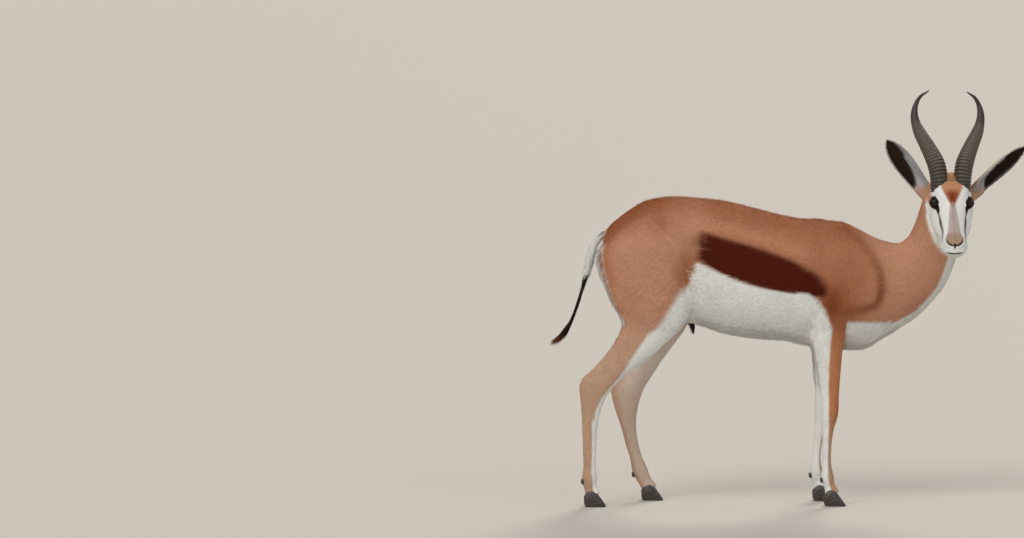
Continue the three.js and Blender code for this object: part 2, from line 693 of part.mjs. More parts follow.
const cuts = [
  slab(NECK_CUT.centre, NECK_CUT.faces, [0, 1, 0.3], 200, 260),
  acrossRow(TRUNK[NECK_ROW], 0, 30, 260),
  slab([TAIL[1][0], 0, TAIL[1][1]], [-1, 0, -0.35], [0, 0, 1], 60, 50),
  slab([TAIL[TUFT_ROW][0], 0, TAIL[TUFT_ROW][1]], [-0.43, 0, -0.9], [1, 0, 0], 60, 60),
  slab([SHEATH.x, 0, SHEATH.cut], [0.09, 0, 1], [1, 0, 0], 26, 26),
];

// What each piece is called, and a place near the middle of its box.
const seeds = {
  torso: [-130, 0, 620],
  neck: [340, 0, 620],
  head: [425, -50, 780],
  tail: [-545, 0, 620],
  tail_tuft: [-610, 0, 470],
  sheath: [SHEATH.x, 0, SHEATH.tip],
};

for (const [name, leg] of Object.entries(LEGS)) {
  const y = footY(leg);
  const rows = leg.cuts.map((index) => leg.rows[index]);
  const [top, joint, fetlock, coronet] = rows;
  cuts.push(acrossRow(top, y, 22, 84), acrossRow(joint, y, 15, 70));
  cuts.push(acrossRow(fetlock, y, 15, 60), acrossRow(coronet, y, 25, 60));
  cuts.push(slab([leg.heel + 30, y, 22], [0, 1, 0], [1, 0, 0], 84, 56));
  const halfWay = (a, b) => middleOf(a, y).add(middleOf(b, y)).multiplyScalar(0.5).toArray();
  seeds[`leg_${name}_upper`] = halfWay(top, joint);
  seeds[`leg_${name}_cannon`] = halfWay(joint, fetlock);
  seeds[`leg_${name}_pastern`] = halfWay(fetlock, coronet);
  seeds[`hoof_${name}_outer`] = [leg.heel + 28, y + leg.side * CLAW_SPREAD, 18];
  seeds[`hoof_${name}_inner`] = [leg.heel + 28, y - leg.side * CLAW_SPREAD, 18];
}
for (const [name, frame] of Object.entries(EARS)) {
  const [root, tip] = [new THREE.Vector3(...frame.root), new THREE.Vector3(...frame.tip)];
  const along = tip.clone().sub(root);
  cuts.push(slab(root.clone().addScaledVector(along, EAR_CUT).toArray(), along.toArray(), [0, 1, 0], 50, 56));
  seeds[name] = root.addScaledVector(along, 0.6).toArray();
}
for (const [name, side] of [['horn_right', -1], ['horn_left', 1]]) {
  const { out, back, up, slope } = HORN_CUT;
  const tilt = THREE.MathUtils.degToRad(slope);
  cuts.push(slab(fromPoll(out * side, back, up), [0, -Math.sin(tilt), Math.cos(tilt)], [1, 0, 0], 58, 100));
  seeds[name] = hornPath(side)[HORN.length - 6];
}

const floor = solid(new THREE.BoxGeometry(3000, 2000, 100).translate(0, 0, -50));
const flesh = joined([
  solid(lofted(TRUNK, 28)),
  skullSolid(),
  tailSolid(),
  sheathSolid(),
  ...tailLocks(TAIL_HAIR, HAIR_SEED),
  ...tailLocks(TUFT_HAIR, HAIR_SEED + 1),
  ...Object.values(LEGS).flatMap((leg) => [legSolid(leg), claw(leg, -1), claw(leg, 1), ...dewclaws(leg)]),
  horn(-1),
  horn(1),
  ...Object.values(EARS).map(ear),
]);
const pieces = flesh.subtract(joined([floor, ...cuts])).decompose();

function pieceNear(seed) {
  const distance = (piece) => {
    const { min, max } = piece.boundingBox();
    return Math.hypot(...seed.map((value, k) => value - (min[k] + max[k]) / 2));
  };
  return pieces.reduce((best, piece) => (distance(piece) < distance(best) ? piece : best));
}

const animal = new THREE.Group();
animal.name = 'springbok';
animal.position.set(-BOX_MIDDLE[0], -BOX_MIDDLE[1], 0);

function add(name, piece) {
  const { vertProperties, triVerts } = piece.getMesh();
  const geometry = new THREE.BufferGeometry();
  geometry.setAttribute('position', new THREE.Float32BufferAttribute(vertProperties, 3));
  geometry.setIndex(Array.from(triVerts));
  const finishes = Object.values(FINISHES);
  const { colour, roughness } = finishes.find(({ names }) => names.some((start) => name.startsWith(start)));
  const material = new THREE.MeshStandardMaterial({ color: colour, roughness, metalness: 0 });
  const mesh = new THREE.Mesh(geometry, material);
  mesh.name = name;
  animal.add(mesh);
}

Object.entries(seeds).forEach(([name, seed]) => add(name, pieceNear(seed)));
add('eye_right', eyeball(-1, 0));
add('eye_left', eyeball(1, 0));

export default animal;
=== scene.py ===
import bpy
import numpy as np
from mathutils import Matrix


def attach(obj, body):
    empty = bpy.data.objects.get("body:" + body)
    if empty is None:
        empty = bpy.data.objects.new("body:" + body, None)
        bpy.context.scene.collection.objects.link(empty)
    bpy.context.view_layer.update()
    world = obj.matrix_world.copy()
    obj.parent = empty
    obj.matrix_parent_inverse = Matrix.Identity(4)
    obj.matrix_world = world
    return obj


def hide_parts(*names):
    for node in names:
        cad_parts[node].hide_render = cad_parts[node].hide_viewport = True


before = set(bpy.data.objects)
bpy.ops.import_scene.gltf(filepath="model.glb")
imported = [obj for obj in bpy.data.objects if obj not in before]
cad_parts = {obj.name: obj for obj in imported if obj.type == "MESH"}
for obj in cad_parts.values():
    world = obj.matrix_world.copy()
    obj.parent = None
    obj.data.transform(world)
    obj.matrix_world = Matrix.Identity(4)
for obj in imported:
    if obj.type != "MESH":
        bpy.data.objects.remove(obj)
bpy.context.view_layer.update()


# Skin. The real hide lies over the muscle from the nose to the hooves with no seam. Here ovals
# are carried along the trunk, the head and each leg, the ears are open leaves, and all of it is
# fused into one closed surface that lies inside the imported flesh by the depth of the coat.

# Where the middle of the whole animal's box lies in the drawing's own frame.
BOX_MIDDLE = np.array([2, -34.8, 0])

# Each row is one oval: crest x and z, keel x and z, middle y, half width, sag of the widest place,
# edge of the crest and of the keel (1 is round, more is keener, less is flatter).
TRUNK = [
    [-500, 742, -505, 692, 0, 22, 0, 1, 1],
    [-480, 763, -492, 645, 0, 55, 0, 1, 1],
    [-440, 795, -462, 590, 0, 78, 0, 1, 1],
    [-392, 823, -418, 532, 0, 92, 0, 1, 1],
    [-343, 834, -362, 500, 0, 98, 0, 1, 1],
    [-300, 836, -308, 489, 0, 101, 0, 1, 1],
    [-243, 832, -250, 484, 0, 105, -0.02, 1, 1],
    [-175, 824, -175, 460, 0, 112, -0.06, 1.05, 1],
    [-91, 804, -91, 447, 0, 119, -0.1, 1.1, 1],
    [-7, 783, -7, 440, 0, 120, -0.12, 1.15, 1],
    [41, 776, 40, 429, 0, 116, -0.12, 1.2, 1],
    [76, 776, 80, 423, 0, 110, -0.1, 1.3, 1.05],
    [109, 771, 115, 419, 0, 103, -0.08, 1.3, 1.1],
    [147, 766, 154, 416, 0, 95, -0.06, 1.25, 1.15],
    [185, 749, 204, 419, 0, 86, -0.04, 1.2, 1.2],
    [226, 727, 250, 445, 0, 77, 0, 1.15, 1.2],
    [262, 714, 300, 475, 0, 70, 0, 1.1, 1.15],
    [295, 711, 350, 509, 0, 65, 0, 1.1, 1.1],
    [319, 727, 391, 552, -1, 61, 0, 1.05, 1.05],
    [332, 750, 416, 583, -3, 58, 0, 1, 1],
    [342, 775, 434, 618, -6, 56, 0, 1, 1],
    [352, 808, 450, 662, -10, 55, 0, 1, 1],
    [363, 845, 462, 705, -14, 53, 0, 1, 1],
    [385, 873, 470, 750, -18, 49, 0, 1, 1],
    [410, 882, 472, 800, -20, 38, 0, 1, 1],
]
THIGH = [
    [-330, 812, -412, 812, 30, 18, 0, 1, 1],
    [-268, 705, -492, 722, 58, 50, 0, 0.95, 0.9],
    [-256, 650, -518, 680, 63, 54, 0, 0.95, 0.9],
    [-258, 595, -516, 636, 67, 53, 0, 0.95, 0.9],
]
SHOULDER = [
    [150, 700, 60, 700, 40, 36, 0, 1.1, 1.1],
    [186, 630, 44, 640, 56, 42, 0, 1.1, 1.1],
    [188, 565, 36, 575, 62, 44, 0, 1.1, 1.1],
    [168, 510, 38, 515, 66, 42, 0, 1.1, 1.1],
    [150, 470, 48, 462, 68, 36, 0, 1.05, 1.05],
    [144, 432, 60, 418, 68, 30, 0, 1, 1],
]


def limb(top, line, widths):
    """Rows of a leg: those of its top, then each crest and keel of the line with its widths."""
    return top + [place + wide for place, wide in zip(line, widths)]


# Below the thigh and the shoulder, the legs of a pair differ in the line of crests and keels alone.
HIND_WIDTHS = [
    [71, 49, 0, 1, 0.95], [74, 44, 0, 1, 0.95], [77, 38, 0, 1, 1], [79, 33, 0, 1.05, 1.05],
    [80, 29, 0, 1.1, 1.1], [80, 25, 0.1, 1.1, 1.2], [80, 22, 0.15, 1, 1.25], [80, 20, 0.2, 1, 1.25],
    [80, 20, 0.2, 1, 1.1], [80, 19, 0.2, 1, 1.05], [80, 17, 0.1, 1, 1], [80, 15, 0, 1, 1],
    [80, 13.5, 0, 1, 1], [80, 14.5, 0, 1, 1], [80, 18.5, 0, 1, 1], [80, 16.5, 0, 1, 1],
    [80, 19, 0, 1, 1],
]
HIND_RIGHT = limb(THIGH, [
    [-264, 548, -502, 596], [-273, 512, -486, 556], [-295, 478, -466, 520], [-335, 441, -457, 494],
    [-373, 405, -464, 467], [-415, 374, -481, 438], [-448, 350, -507, 404], [-474, 325, -536, 372],
    [-494, 299, -563, 347], [-507, 270, -570, 320], [-515, 240, -566, 272], [-520, 200, -563, 212],
    [-523, 150, -561, 152], [-524, 110, -560, 108], [-521, 82, -563, 70], [-521, 58, -556, 44],
    [-512, 40, -553, 25],
], HIND_WIDTHS)
HIND_LEFT = limb(THIGH, [
    [-262, 548, -496, 596], [-264, 508, -474, 560], [-275, 472, -446, 530], [-296, 441, -424, 506],
    [-320, 409, -421, 474], [-345, 375, -433, 432], [-368, 340, -451, 392], [-386, 312, -471, 358],
    [-398, 285, -486, 323], [-405, 260, -481, 288], [-410, 232, -471, 248], [-411, 200, -456, 204],
    [-406, 160, -443, 156], [-396, 122, -430, 113], [-382, 90, -422, 72], [-371, 62, -405, 43],
    [-355, 41, -396, 25],
], HIND_WIDTHS)
FORE_WIDTHS = [
    [67, 26, 0, 1, 1], [66, 22, 0, 1, 1], [65, 20, 0, 1, 1], [64, 21.5, 0, 0.9, 1],
    [64, 20.5, 0, 0.9, 1], [64, 17, 0, 1, 1], [64, 14, 0, 1, 1], [64, 13, 0, 1, 1], [64, 13.5, 0, 1, 1],
    [64, 17.5, 0, 1, 1], [64, 15.5, 0, 1, 1], [64, 18, 0, 1, 1],
]
FORE_RIGHT = limb(SHOULDER, [
    [140, 392, 67, 382], [136, 345, 73, 337], [133, 300, 79, 295], [132, 268, 82, 262],
    [129, 243, 83, 236], [121, 217, 85, 210], [115, 185, 86, 180], [112, 150, 87, 148],
    [112, 115, 86, 113], [118, 84, 83, 72], [122, 60, 92, 46], [133, 41, 95, 25],
], FORE_WIDTHS)
FORE_LEFT = limb(SHOULDER, [
    [137, 392, 65, 382], [131, 345, 69, 337], [126, 300, 72, 295], [122, 268, 73, 262],
    [118, 243, 72, 236], [108, 217, 72, 210], [100, 185, 71, 180], [94, 150, 69, 148],
    [91, 115, 65, 113], [95, 84, 60, 72], [99, 60, 69, 46], [110, 41, 72, 25],
], FORE_WIDTHS)

# The head's own frame: +x along the face, +y its left, +z out of the brow, from the poll.
POLL = np.array([431.5, -32, 888])
HEAD_PITCH = np.radians(41)
HEAD_AXES = np.array([
    [0, -np.cos(HEAD_PITCH), -np.sin(HEAD_PITCH)],
    [1, 0, 0],
    [0, -np.sin(HEAD_PITCH), np.cos(HEAD_PITCH)],
])
HEAD = [
    [-22, -20, -18, -62, 0, 22, 0, 1, 1],
    [-12, -4, -8, -84, 0, 38, 0, 1, 1],
    [2, 7, 8, -100, 0, 48, 0, 0.9, 1],
    [25, 14, 30, -113, 0, 57, 0, 0.68, 1],
    [50, 16, 54, -120, 0, 61, 0, 0.6, 0.8],
    [75, 10, 78, -121, 0, 59, 0, 0.78, 0.75],
    [100, 3, 102, -116, 0, 54, -0.1, 1, 0.75],
    [125, -4, 127, -107, 0, 50, -0.14, 1.15, 0.75],
    [150, -9, 151, -97, 0, 45, -0.14, 1.2, 0.8],
    [175, -13, 175, -89, 0, 40, -0.1, 1.15, 0.9],
    [200, -17, 199, -84, 0, 36, 0, 1, 1],
    [218, -21, 216, -82, 0, 34, 0, 0.9, 1],
    [231, -27, 228, -79, 0, 29, 0, 0.9, 1],
    [241, -37, 237, -70, 0, 20, 0, 1, 1],
    [245, -48, 243, -58, 0, 8, 0, 1, 1],
]

# Tail, root to tip: x, z and half width.
TAIL = [
    [-488, 735, 12], [-507, 733, 11], [-524, 714, 14], [-535, 690, 16], [-541, 660, 15],
    [-548, 630, 11], [-556, 600, 7], [-567, 560, 6], [-579, 525, 6], [-588, 500, 7],
    [-597, 483, 9], [-608, 465, 7], [-622, 450, 4], [-637, 441, 1],
]
TAIL_CORE = 0.55
SHEATH = [[-270, 500, 7], [-266, 486.5, 6.6], [-264, 479, 5], [-263.5, 474, 1.6]]

# Ears: root, tip, the way the cup opens, and along the ear its half width, back and fore reach.
EARS = {
    "right": [[384, -8, 824], [264, 34, 984], [0.05, -1, 0.15]],
    "left": [[478, -4, 827], [640, 40, 965], [0.44, -0.75, -0.5]],
}
EAR = np.array([
    [0, 19, 15, 15], [0.12, 21, 16, 16], [0.22, 23, 17, 15], [0.34, 25, 18, 12], [0.47, 27.5, 19, 9],
    [0.6, 29, 18, 6], [0.72, 28, 15, 4], [0.83, 23.5, 11, 3], [0.92, 16.5, 7, 2.2], [0.98, 7.5, 3, 1.4],
    [1, 2.5, 1.4, 1],
])
EAR_WALL = 3.4
CUP_START = 0.2
EAR_SIDES, EAR_ROWS = 96, 90

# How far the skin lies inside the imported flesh.
BODY_COAT = 3.0
LEG_COAT = 1.4
FACE_COAT = 1.0

# Spacing of the grid that fuses the skin, and about how many triangles the skin keeps after that.
SKIN_VOXEL = 1.9
SKIN_FACES = 120000


def in_metres(points):
    """The drawing's frame in millimetres to the part's frame in metres."""
    return (np.asarray(points, float) - BOX_MIDDLE) / 1000


def out_of_head(points):
    """The head's own frame to the drawing's frame."""
    return POLL + np.asarray(points, float) @ HEAD_AXES


def into_head(points):
    """The drawing's frame to the head's own frame."""
    return (np.asarray(points, float) - POLL) @ HEAD_AXES.T


def unit(vectors):
    """Vectors divided by their own length."""
    return vectors / np.maximum(np.linalg.norm(vectors, axis=-1, keepdims=True), 1e-9)


def cubic(start, end, start_slope, end_slope, span, t):
    """From start to end as t runs from 0 to 1: start times 2t^3 - 3t^2 + 1, plus end times
    3t^2 - 2t^3, plus the slopes times the span, by t^3 - 2t^2 + t and by t^3 - t^2."""
    return (start * (2 * t**3 - 3 * t**2 + 1) + end * (3 * t**2 - 2 * t**3)
            + start_slope * span * (t**3 - 2 * t**2 + t) + end_slope * span * (t**3 - t**2))


def refined(rows, per_span):
    """Rows between the table's rows: a cubic through them, with a knot spacing of the square root
    of the distance between the ovals' middles."""
    rows = np.asarray(rows, float)
    middle = np.stack([rows[:, 0] + rows[:, 2], 2 * rows[:, 4], rows[:, 1] + rows[:, 3]], 1) / 2
    span = np.sqrt(np.linalg.norm(np.diff(middle, axis=0), axis=1))[:, None]
    secant = np.diff(rows, axis=0) / span
    slope = np.concatenate([secant[:1], np.zeros_like(secant[1:]), secant[-1:]])
    slope[1:-1] = (secant[:-1] * span[1:] + secant[1:] * span[:-1]) / (span[:-1] + span[1:])
    t = (np.arange(per_span) / per_span)[None, :, None]
    fine = cubic(*(v[:, None, :] for v in (rows[:-1], rows[1:], slope[:-1], slope[1:], span)), t)
    return np.concatenate([fine.reshape(-1, rows.shape[1]), rows[-1:]])


def full_turn(sides):
    """Angles of one full turn in equal steps."""
    return np.linspace(0, 2 * np.pi, sides, endpoint=False)


def ovals(rows, sides, inset=0.0):
    """Rings of points. Round each oval the height runs as the cosine, pushed down by the sag, and
    the width as the sine raised to the edge's power. Both shrink by the inset, which is one number
    or a column with one for each oval."""
    rows = np.asarray(rows, float)
    angle = full_turn(sides)
    up, out = np.cos(angle)[None], np.sin(angle)[None]
    crest, keel = rows[:, None, 0:2], rows[:, None, 2:4]
    middle_y, half, sag, crest_edge, keel_edge = (rows[:, k, None] for k in range(4, 9))
    depth = np.linalg.norm(rows[:, 0:2] - rows[:, 2:4], axis=1)[:, None] / 2
    along = (up + sag * (1 - up**2)) * np.maximum(1 - inset / depth, 0.05)
    edge = np.where(up > 0, 1 + (crest_edge - 1) * up, 1 - (keel_edge - 1) * up)
    wide = np.sign(out) * np.abs(out) ** edge * np.maximum(half - inset, 0.5)
    flat = (crest + keel) / 2 + (crest - keel) / 2 * along[..., None]
    return np.stack([flat[..., 0], middle_y + wide, flat[..., 1]], -1)


def on_side(rows, side):
    """Rows of a limb on one side of the body: +1 its left, -1 its right."""
    rows = np.array(rows, float)
    rows[:, 4] *= side
    return rows


def tube(path, half, sides, depth=1.0):
    """Rings round a path: at each point a circle of that half width, in the plane square to the
    path, with its depth along the cross product of the path and the body's side."""
    path = np.asarray(path, float)
    along = unit(np.gradient(path, axis=0))
    across = unit(np.cross(np.broadcast_to([0, 1, 0], along.shape), along))
    out = np.cross(along, across)
    angle = full_turn(sides)
    half = np.broadcast_to(np.asarray(half, float).reshape(len(path), -1), (len(path), sides))
    ring = (np.cos(angle)[None, :, None] * across[:, None]
            + depth * np.sin(angle)[None, :, None] * out[:, None])
    return path[:, None] + half[..., None] * ring


def smooth_path(points, count):
    """Points spread evenly in number along a cubic through the given ones."""
    points = np.asarray(points, float)
    step = np.maximum(np.sqrt(np.linalg.norm(np.diff(points, axis=0), axis=1)), 1e-6)
    knots = np.concatenate([[0], np.cumsum(step)]) / step.sum()
    slope = np.gradient(points, knots, axis=0)
    t = np.linspace(0, 1, count)
    i = np.clip(np.searchsorted(knots, t, side="right") - 1, 0, len(points) - 2)
    span = (knots[i + 1] - knots[i])[:, None]
    s = ((t - knots[i]) / (knots[i + 1] - knots[i]))[:, None]
    return cubic(points[i], points[i + 1], slope[i], slope[i + 1], span, s)


def closed(rings):
    """Points and triangles of a closed surface over rings, each end closed by a fan."""
    count, sides = rings.shape[:2]
    a = (np.arange(count - 1)[:, None] * sides + np.arange(sides)).ravel()
    b = (np.arange(count - 1)[:, None] * sides + (np.arange(sides) + 1) % sides).ravel()
    faces = [np.stack([a, b, b + sides], 1), np.stack([a, b + sides, a + sides], 1)]
    points = [rings.reshape(-1, 3), rings[0].mean(0)[None], rings[-1].mean(0)[None]]
    j = np.arange(sides)
    last = (count - 1) * sides
    hub = np.full(sides, count * sides)
    faces.append(np.stack([(j + 1) % sides, j, hub], 1))
    faces.append(np.stack([last + j, last + (j + 1) % sides, hub + 1], 1))
    points, faces = np.concatenate(points), np.concatenate(faces)
    p = points[faces]
    if np.einsum("ij,ij->i", p[:, 0], np.cross(p[:, 1], p[:, 2])).sum() < 0:
        faces = faces[:, ::-1]
    return points, faces


def joined(surfaces):
    """Several surfaces' points and triangles as one."""
    start = np.cumsum([0] + [len(points) for points, _ in surfaces])
    faces = [f + s for (_, f), s in zip(surfaces, start)]
    return np.concatenate([p for p, _ in surfaces]), np.concatenate(faces)


def new_mesh(name, points, faces):
    """Mesh object of triangles from whole arrays, smooth shaded."""
    mesh = bpy.data.meshes.new(name)
    mesh.vertices.add(len(points))
    mesh.vertices.foreach_set("co", np.asarray(points, np.float32).ravel())
    mesh.loops.add(3 * len(faces))
    mesh.loops.foreach_set("vertex_index", np.asarray(faces, np.int32).ravel())
    mesh.polygons.add(len(faces))
    mesh.polygons.foreach_set("loop_start", np.arange(0, 3 * len(faces), 3, dtype=np.int32))
    mesh.polygons.foreach_set("use_smooth", np.ones(len(faces), bool))
    mesh.update(calc_edges=True)
    piece = bpy.data.objects.new(name, mesh)
    bpy.context.scene.collection.objects.link(piece)
    return piece


def placed(surface):
    """A surface's points in metres, and its triangles."""
    points, faces = surface
    return in_metres(points), faces


def settle(piece):
    """Puts the result of a piece's modifiers into its mesh."""
    graph = bpy.context.evaluated_depsgraph_get()
    finished = bpy.data.meshes.new_from_object(piece.evaluated_get(graph))
    piece.modifiers.clear()
    old, piece.data = piece.data, finished
    bpy.data.meshes.remove(old)


def numbers(items, field, kind=np.float32):
    """One field of a mesh's items, as rows of three numbers."""
    flat = np.empty(3 * len(items), kind)
    items.foreach_get(field, flat)
    return flat.reshape(-1, 3)


def points_of(piece):
    """A piece's points in the drawing's frame."""
    return numbers(piece.data.vertices, "co").astype(float) * 1000 + BOX_MIDDLE


def normals_of(piece):
    """The way the surface faces at each of a piece's points."""
    return numbers(piece.data.vertex_normals, "vector").astype(float)


def triangles_of(piece):
    """The numbers of the three points of each of a piece's triangles."""
    piece.data.calc_loop_triangles()
    return numbers(piece.data.loop_triangles, "vertices", np.int32)


def spread_along(share, values):
    """The values, evenly spaced from 0 to 1, read in a straight line between them at each share."""
    return np.interp(share, np.linspace(0, 1, len(values)), values)


def hanging(table, count):
    """Path and half widths of a part that hangs in the middle plane, from rows of x, z and half."""
    path = smooth_path([[x, 0, z] for x, z, _ in table], count)
    return path, spread_along(np.linspace(0, 1, count), [half for *_, half in table])


def ear_axes(side):
    """An ear's root and tip, the way across it and the way its cup opens."""
    root, tip, opens = (np.array(v, float) for v in EARS[side])
    across = unit(np.cross(tip - root, opens))
    return root, tip, across, unit(np.cross(across, tip - root))


def ear_rings(side, sides, stations):
    """Rings of a leaf-shaped ear. The back is a half oval; the front is one too near the root, and
    from the start of the cup it falls back inside the wall, with low folds running along it."""
    root, tip, across, front = ear_axes(side)
    t = np.linspace(0, 1, stations) ** 0.9
    wide, back, fore = (np.interp(t, EAR[:, 0], EAR[:, k])[:, None] for k in (1, 2, 3))
    angle = full_turn(sides)[None]
    cos, sin = np.cos(angle), np.sin(angle)
    rise = np.clip((t[:, None] - CUP_START) / 0.16, 0, 1)
    close = np.clip((1 - t[:, None]) / 0.06, 0, 1)
    cup = rise * rise * (3 - 2 * rise) * close
    wall = np.minimum(EAR_WALL, 0.45 * wide)
    folds = 1.3 * np.cos(3.2 * np.pi * cos) * np.clip(1.4 - t[:, None] * 1.6, 0, 1)
    hollow = np.maximum(back - wall, 0.3) + folds
    inside = fore * (1 - cup) * -sin - cup * hollow * np.abs(sin) ** 0.8
    depth = np.where(sin > 0, -back * sin, inside)
    reach = np.where(sin > 0, wide, wide - cup * wall)
    middle = root + t[:, None] * (tip - root)
    return middle[:, None] + (reach * cos)[..., None] * across + depth[..., None] * front


tail_path, tail_half = hanging(TAIL, 120)
sheath_path, sheath_half = hanging(SHEATH, 24)

# Eyes, in the head's frame; the opening runs from its rear corner to its front one.
EYE_RADIUS = 16
EYE_PLACE = np.array([78, 42, -22])
EYE_LOOK = np.array([0.5, 0.7, 0.5])
EYE_CORNERS = np.array([0.83, -0.55, -0.06])
LID = 2.4
ORBIT_PLACE = np.array([72, 34, -27])
ORBIT_REACH = np.array([36, 21, 25])


def ball(centre, reach, sides=48):
    """Rings of an ellipsoid round the x axis."""
    a = np.linspace(0.02, np.pi - 0.02, sides // 2)[:, None]
    b = full_turn(sides)[None]
    shape = np.stack([np.cos(a) + 0 * b, np.sin(a) * np.cos(b), np.sin(a) * np.sin(b)], -1)
    return np.asarray(centre) + shape * np.asarray(reach)


LEGS = {
    "hind_right": (HIND_RIGHT, -1),
    "hind_left": (HIND_LEFT, 1),
    "fore_right": (FORE_RIGHT, -1),
    "fore_left": (FORE_LEFT, 1),
}
shells = [closed(ovals(refined(TRUNK, 8), 128, BODY_COAT))]
shells.append(closed(out_of_head(ovals(refined(HEAD, 8), 96, FACE_COAT))))
for rows, side in LEGS.values():
    fine_rows = on_side(refined(rows, 8), side)
    coat = np.interp(np.arange(len(fine_rows)), [40, 80], [BODY_COAT, LEG_COAT])
    shells.append(closed(ovals(fine_rows, 72, coat[:, None])))
shells.append(closed(tube(tail_path, tail_half * TAIL_CORE, 32)))
shells.append(closed(tube(sheath_path, sheath_half - 1, 32)))
for side in EARS:
    shells.append(closed(ear_rings(side, EAR_SIDES, EAR_ROWS)))
for side in (-1, 1):
    flip = np.array([1, side, 1])
    shells.append(closed(out_of_head(ball(ORBIT_PLACE * flip, ORBIT_REACH - FACE_COAT))))
    shells.append(closed(out_of_head(ball(EYE_PLACE * flip, np.full(3, EYE_RADIUS + LID)))))

skin = new_mesh("skin", *placed(joined(shells)))
remesh = skin.modifiers.new("fuse", "REMESH")
remesh.mode = "VOXEL"
remesh.voxel_size = SKIN_VOXEL / 1000
soften = skin.modifiers.new("soften", "SMOOTH")
soften.factor = 0.5
soften.iterations = 7
settle(skin)

# The body gives up more of its faces than the head does.
in_head = into_head(points_of(skin))
on_head = (in_head[:, 0] > -30) & (np.abs(in_head[:, 1]) < 75) & (in_head[:, 2] > -130)
shares = skin.vertex_groups.new(name="thinned")
shares.add(np.nonzero(~on_head)[0].tolist(), 1.0, "REPLACE")
shares.add(np.nonzero(on_head)[0].tolist(), 0.5, "REPLACE")
thin = skin.modifiers.new("thin", "DECIMATE")
thin.vertex_group = shares.name
thin.vertex_group_factor = 1.0
thin.ratio = SKIN_FACES / (2 * len(skin.data.polygons))
settle(skin)


def divided(points, faces, near):
    """Splits each triangle whose three corners are near into four, and the neighbours that share
    a split edge into two."""
    edges = np.sort(faces[:, [[0, 1], [1, 2], [2, 0]]], axis=2)
    split = near[edges].all(2)
    keys = edges[..., 0].astype(np.int64) * len(points) + edges[..., 1]
    used, place = np.unique(keys[split], return_inverse=True)
    middle = np.full(split.shape, -1)
    middle[split] = len(points) + place
    ends = np.stack([used // len(points), used % len(points)], 1)
    points = np.concatenate([points, points[ends].mean(1)])
    count = split.sum(1)
    (a, b, c), (ab, bc, ca) = faces[count == 3].T, middle[count == 3].T
    parts = [faces[count == 0]]
    parts += [np.stack(t, 1) for t in ((a, ab, ca), (ab, b, bc), (ca, bc, c), (ab, bc, ca))]
    one = count == 1
    turn = (np.argmax(split[one], 1)[:, None] + np.arange(3)) % 3
    a, b, c = np.take_along_axis(faces[one], turn, 1).T
    m = middle[one][split[one]]
    parts += [np.stack([a, m, c], 1), np.stack([m, b, c], 1)]
    return points, np.concatenate(parts)


def gap_to_line(points, line):
    """Distance to a broken line, and how far along it the nearest place lies, from 0 to 1."""
    line = np.asarray(line, float)
    best = np.full(len(points), np.inf)
    share = np.zeros(len(points))
    for k in range(len(line) - 1):
        run = line[k + 1] - line[k]
        t = np.clip((points - line[k]) @ run / (run @ run), 0, 1)
        gap = np.linalg.norm(points - line[k] - t[:, None] * run, axis=1)
        closer = gap < best
        best = np.where(closer, gap, best)
        share = np.where(closer, (k + t) / (len(line) - 1), share)
    return best, share


def abreast(points):
    """Points with both sides laid on the left one."""
    return np.stack([points[:, 0], np.abs(points[:, 1]), points[:, 2]], 1)


# Muscle and bone that show through the coat: x, |y|, z, three reaches and how far they stand out.
# The body's are in the drawing's frame, and the head's in its own.
BODY_FORMS = [
    [128, 78, 655, 46, 60, 80, 3.0], [112, 78, 560, 52, 60, 44, 5.0], [40, 90, 560, 16, 60, 70, -4.5],
    [60, 96, 470, 22, 40, 26, 3.0], [196, 60, 590, 26, 50, 60, -4.5], [236, 60, 600, 30, 50, 60, 2.5],
    [-206, 80, 700, 36, 50, 46, -6.0], [-262, 95, 600, 18, 50, 50, -4.0], [-300, 90, 560, 26, 50, 40, 3.5],
    [-335, 75, 778, 26, 30, 20, 4.0], [-400, 80, 690, 60, 60, 60, 3.0], [-478, 70, 640, 24, 40, 60, 2.5],
    [-446, 70, 560, 20, 40, 60, -2.5], [-92, 100, 640, 90, 60, 60, 2.5], [-20, 60, 770, 120, 30, 20, -2.0],
    [-330, 40, 470, 30, 60, 50, -2.0], [120, 30, 440, 40, 60, 30, 3.0], [360, 45, 700, 26, 40, 90, -3.0],
    [300, 60, 640, 30, 50, 40, 2.0],
]
# Hollows beside the tendons of each leg: row of its table, share from front to rear, reach, depth.
LEG_GROOVES = {
    "hind": [[9.5, 0.62, 9, -5], [10.6, 0.62, 8, -4.5], [12, 0.7, 7, -2.5], [15, 0.6, 5, -1.6],
             [16, 0.6, 5, -1.6], [17.4, 0.55, 6, -1.4], [11.6, 0.25, 9, 1.8], [18.3, 0.5, 7, 1.4]],
    "fore": [[6.5, 0.6, 8, -2.2], [8.4, 0.35, 8, 1.6], [9.6, 0.3, 9, 2.0], [12.4, 0.62, 5, -1.8],
             [13.4, 0.62, 5, -1.8], [15, 0.5, 7, 1.4], [9.6, 0.85, 7, 1.8]],
}
HEAD_FORMS = [
    [60, 52, -78, 40, 26, 36, 2.5], [118, 34, -30, 26, 16, 12, -3.0], [128, 46, -62, 26, 14, 12, 2.4],
    [66, 30, 2, 26, 16, 12, 1.5], [150, 12, -6, 50, 12, 12, 2.0],
    [175, 36, -52, 26, 14, 20, -2.4], [20, 50, -50, 22, 20, 30, -2.4], [222, 26, -30, 12, 12, 12, 1.8],
    [230, 18, -68, 14, 20, 9, 2.0], [212, 30, -56, 16, 10, 9, 2.0], [100, 0, 0, 30, 10, 14, 1.0],
]
MOUTH_LINE = np.array([[190, 36, -62], [205, 35, -60], [222, 30, -56], [236, 20, -52], [246, 7, -48.5],
                       [247.5, 0, -48]])
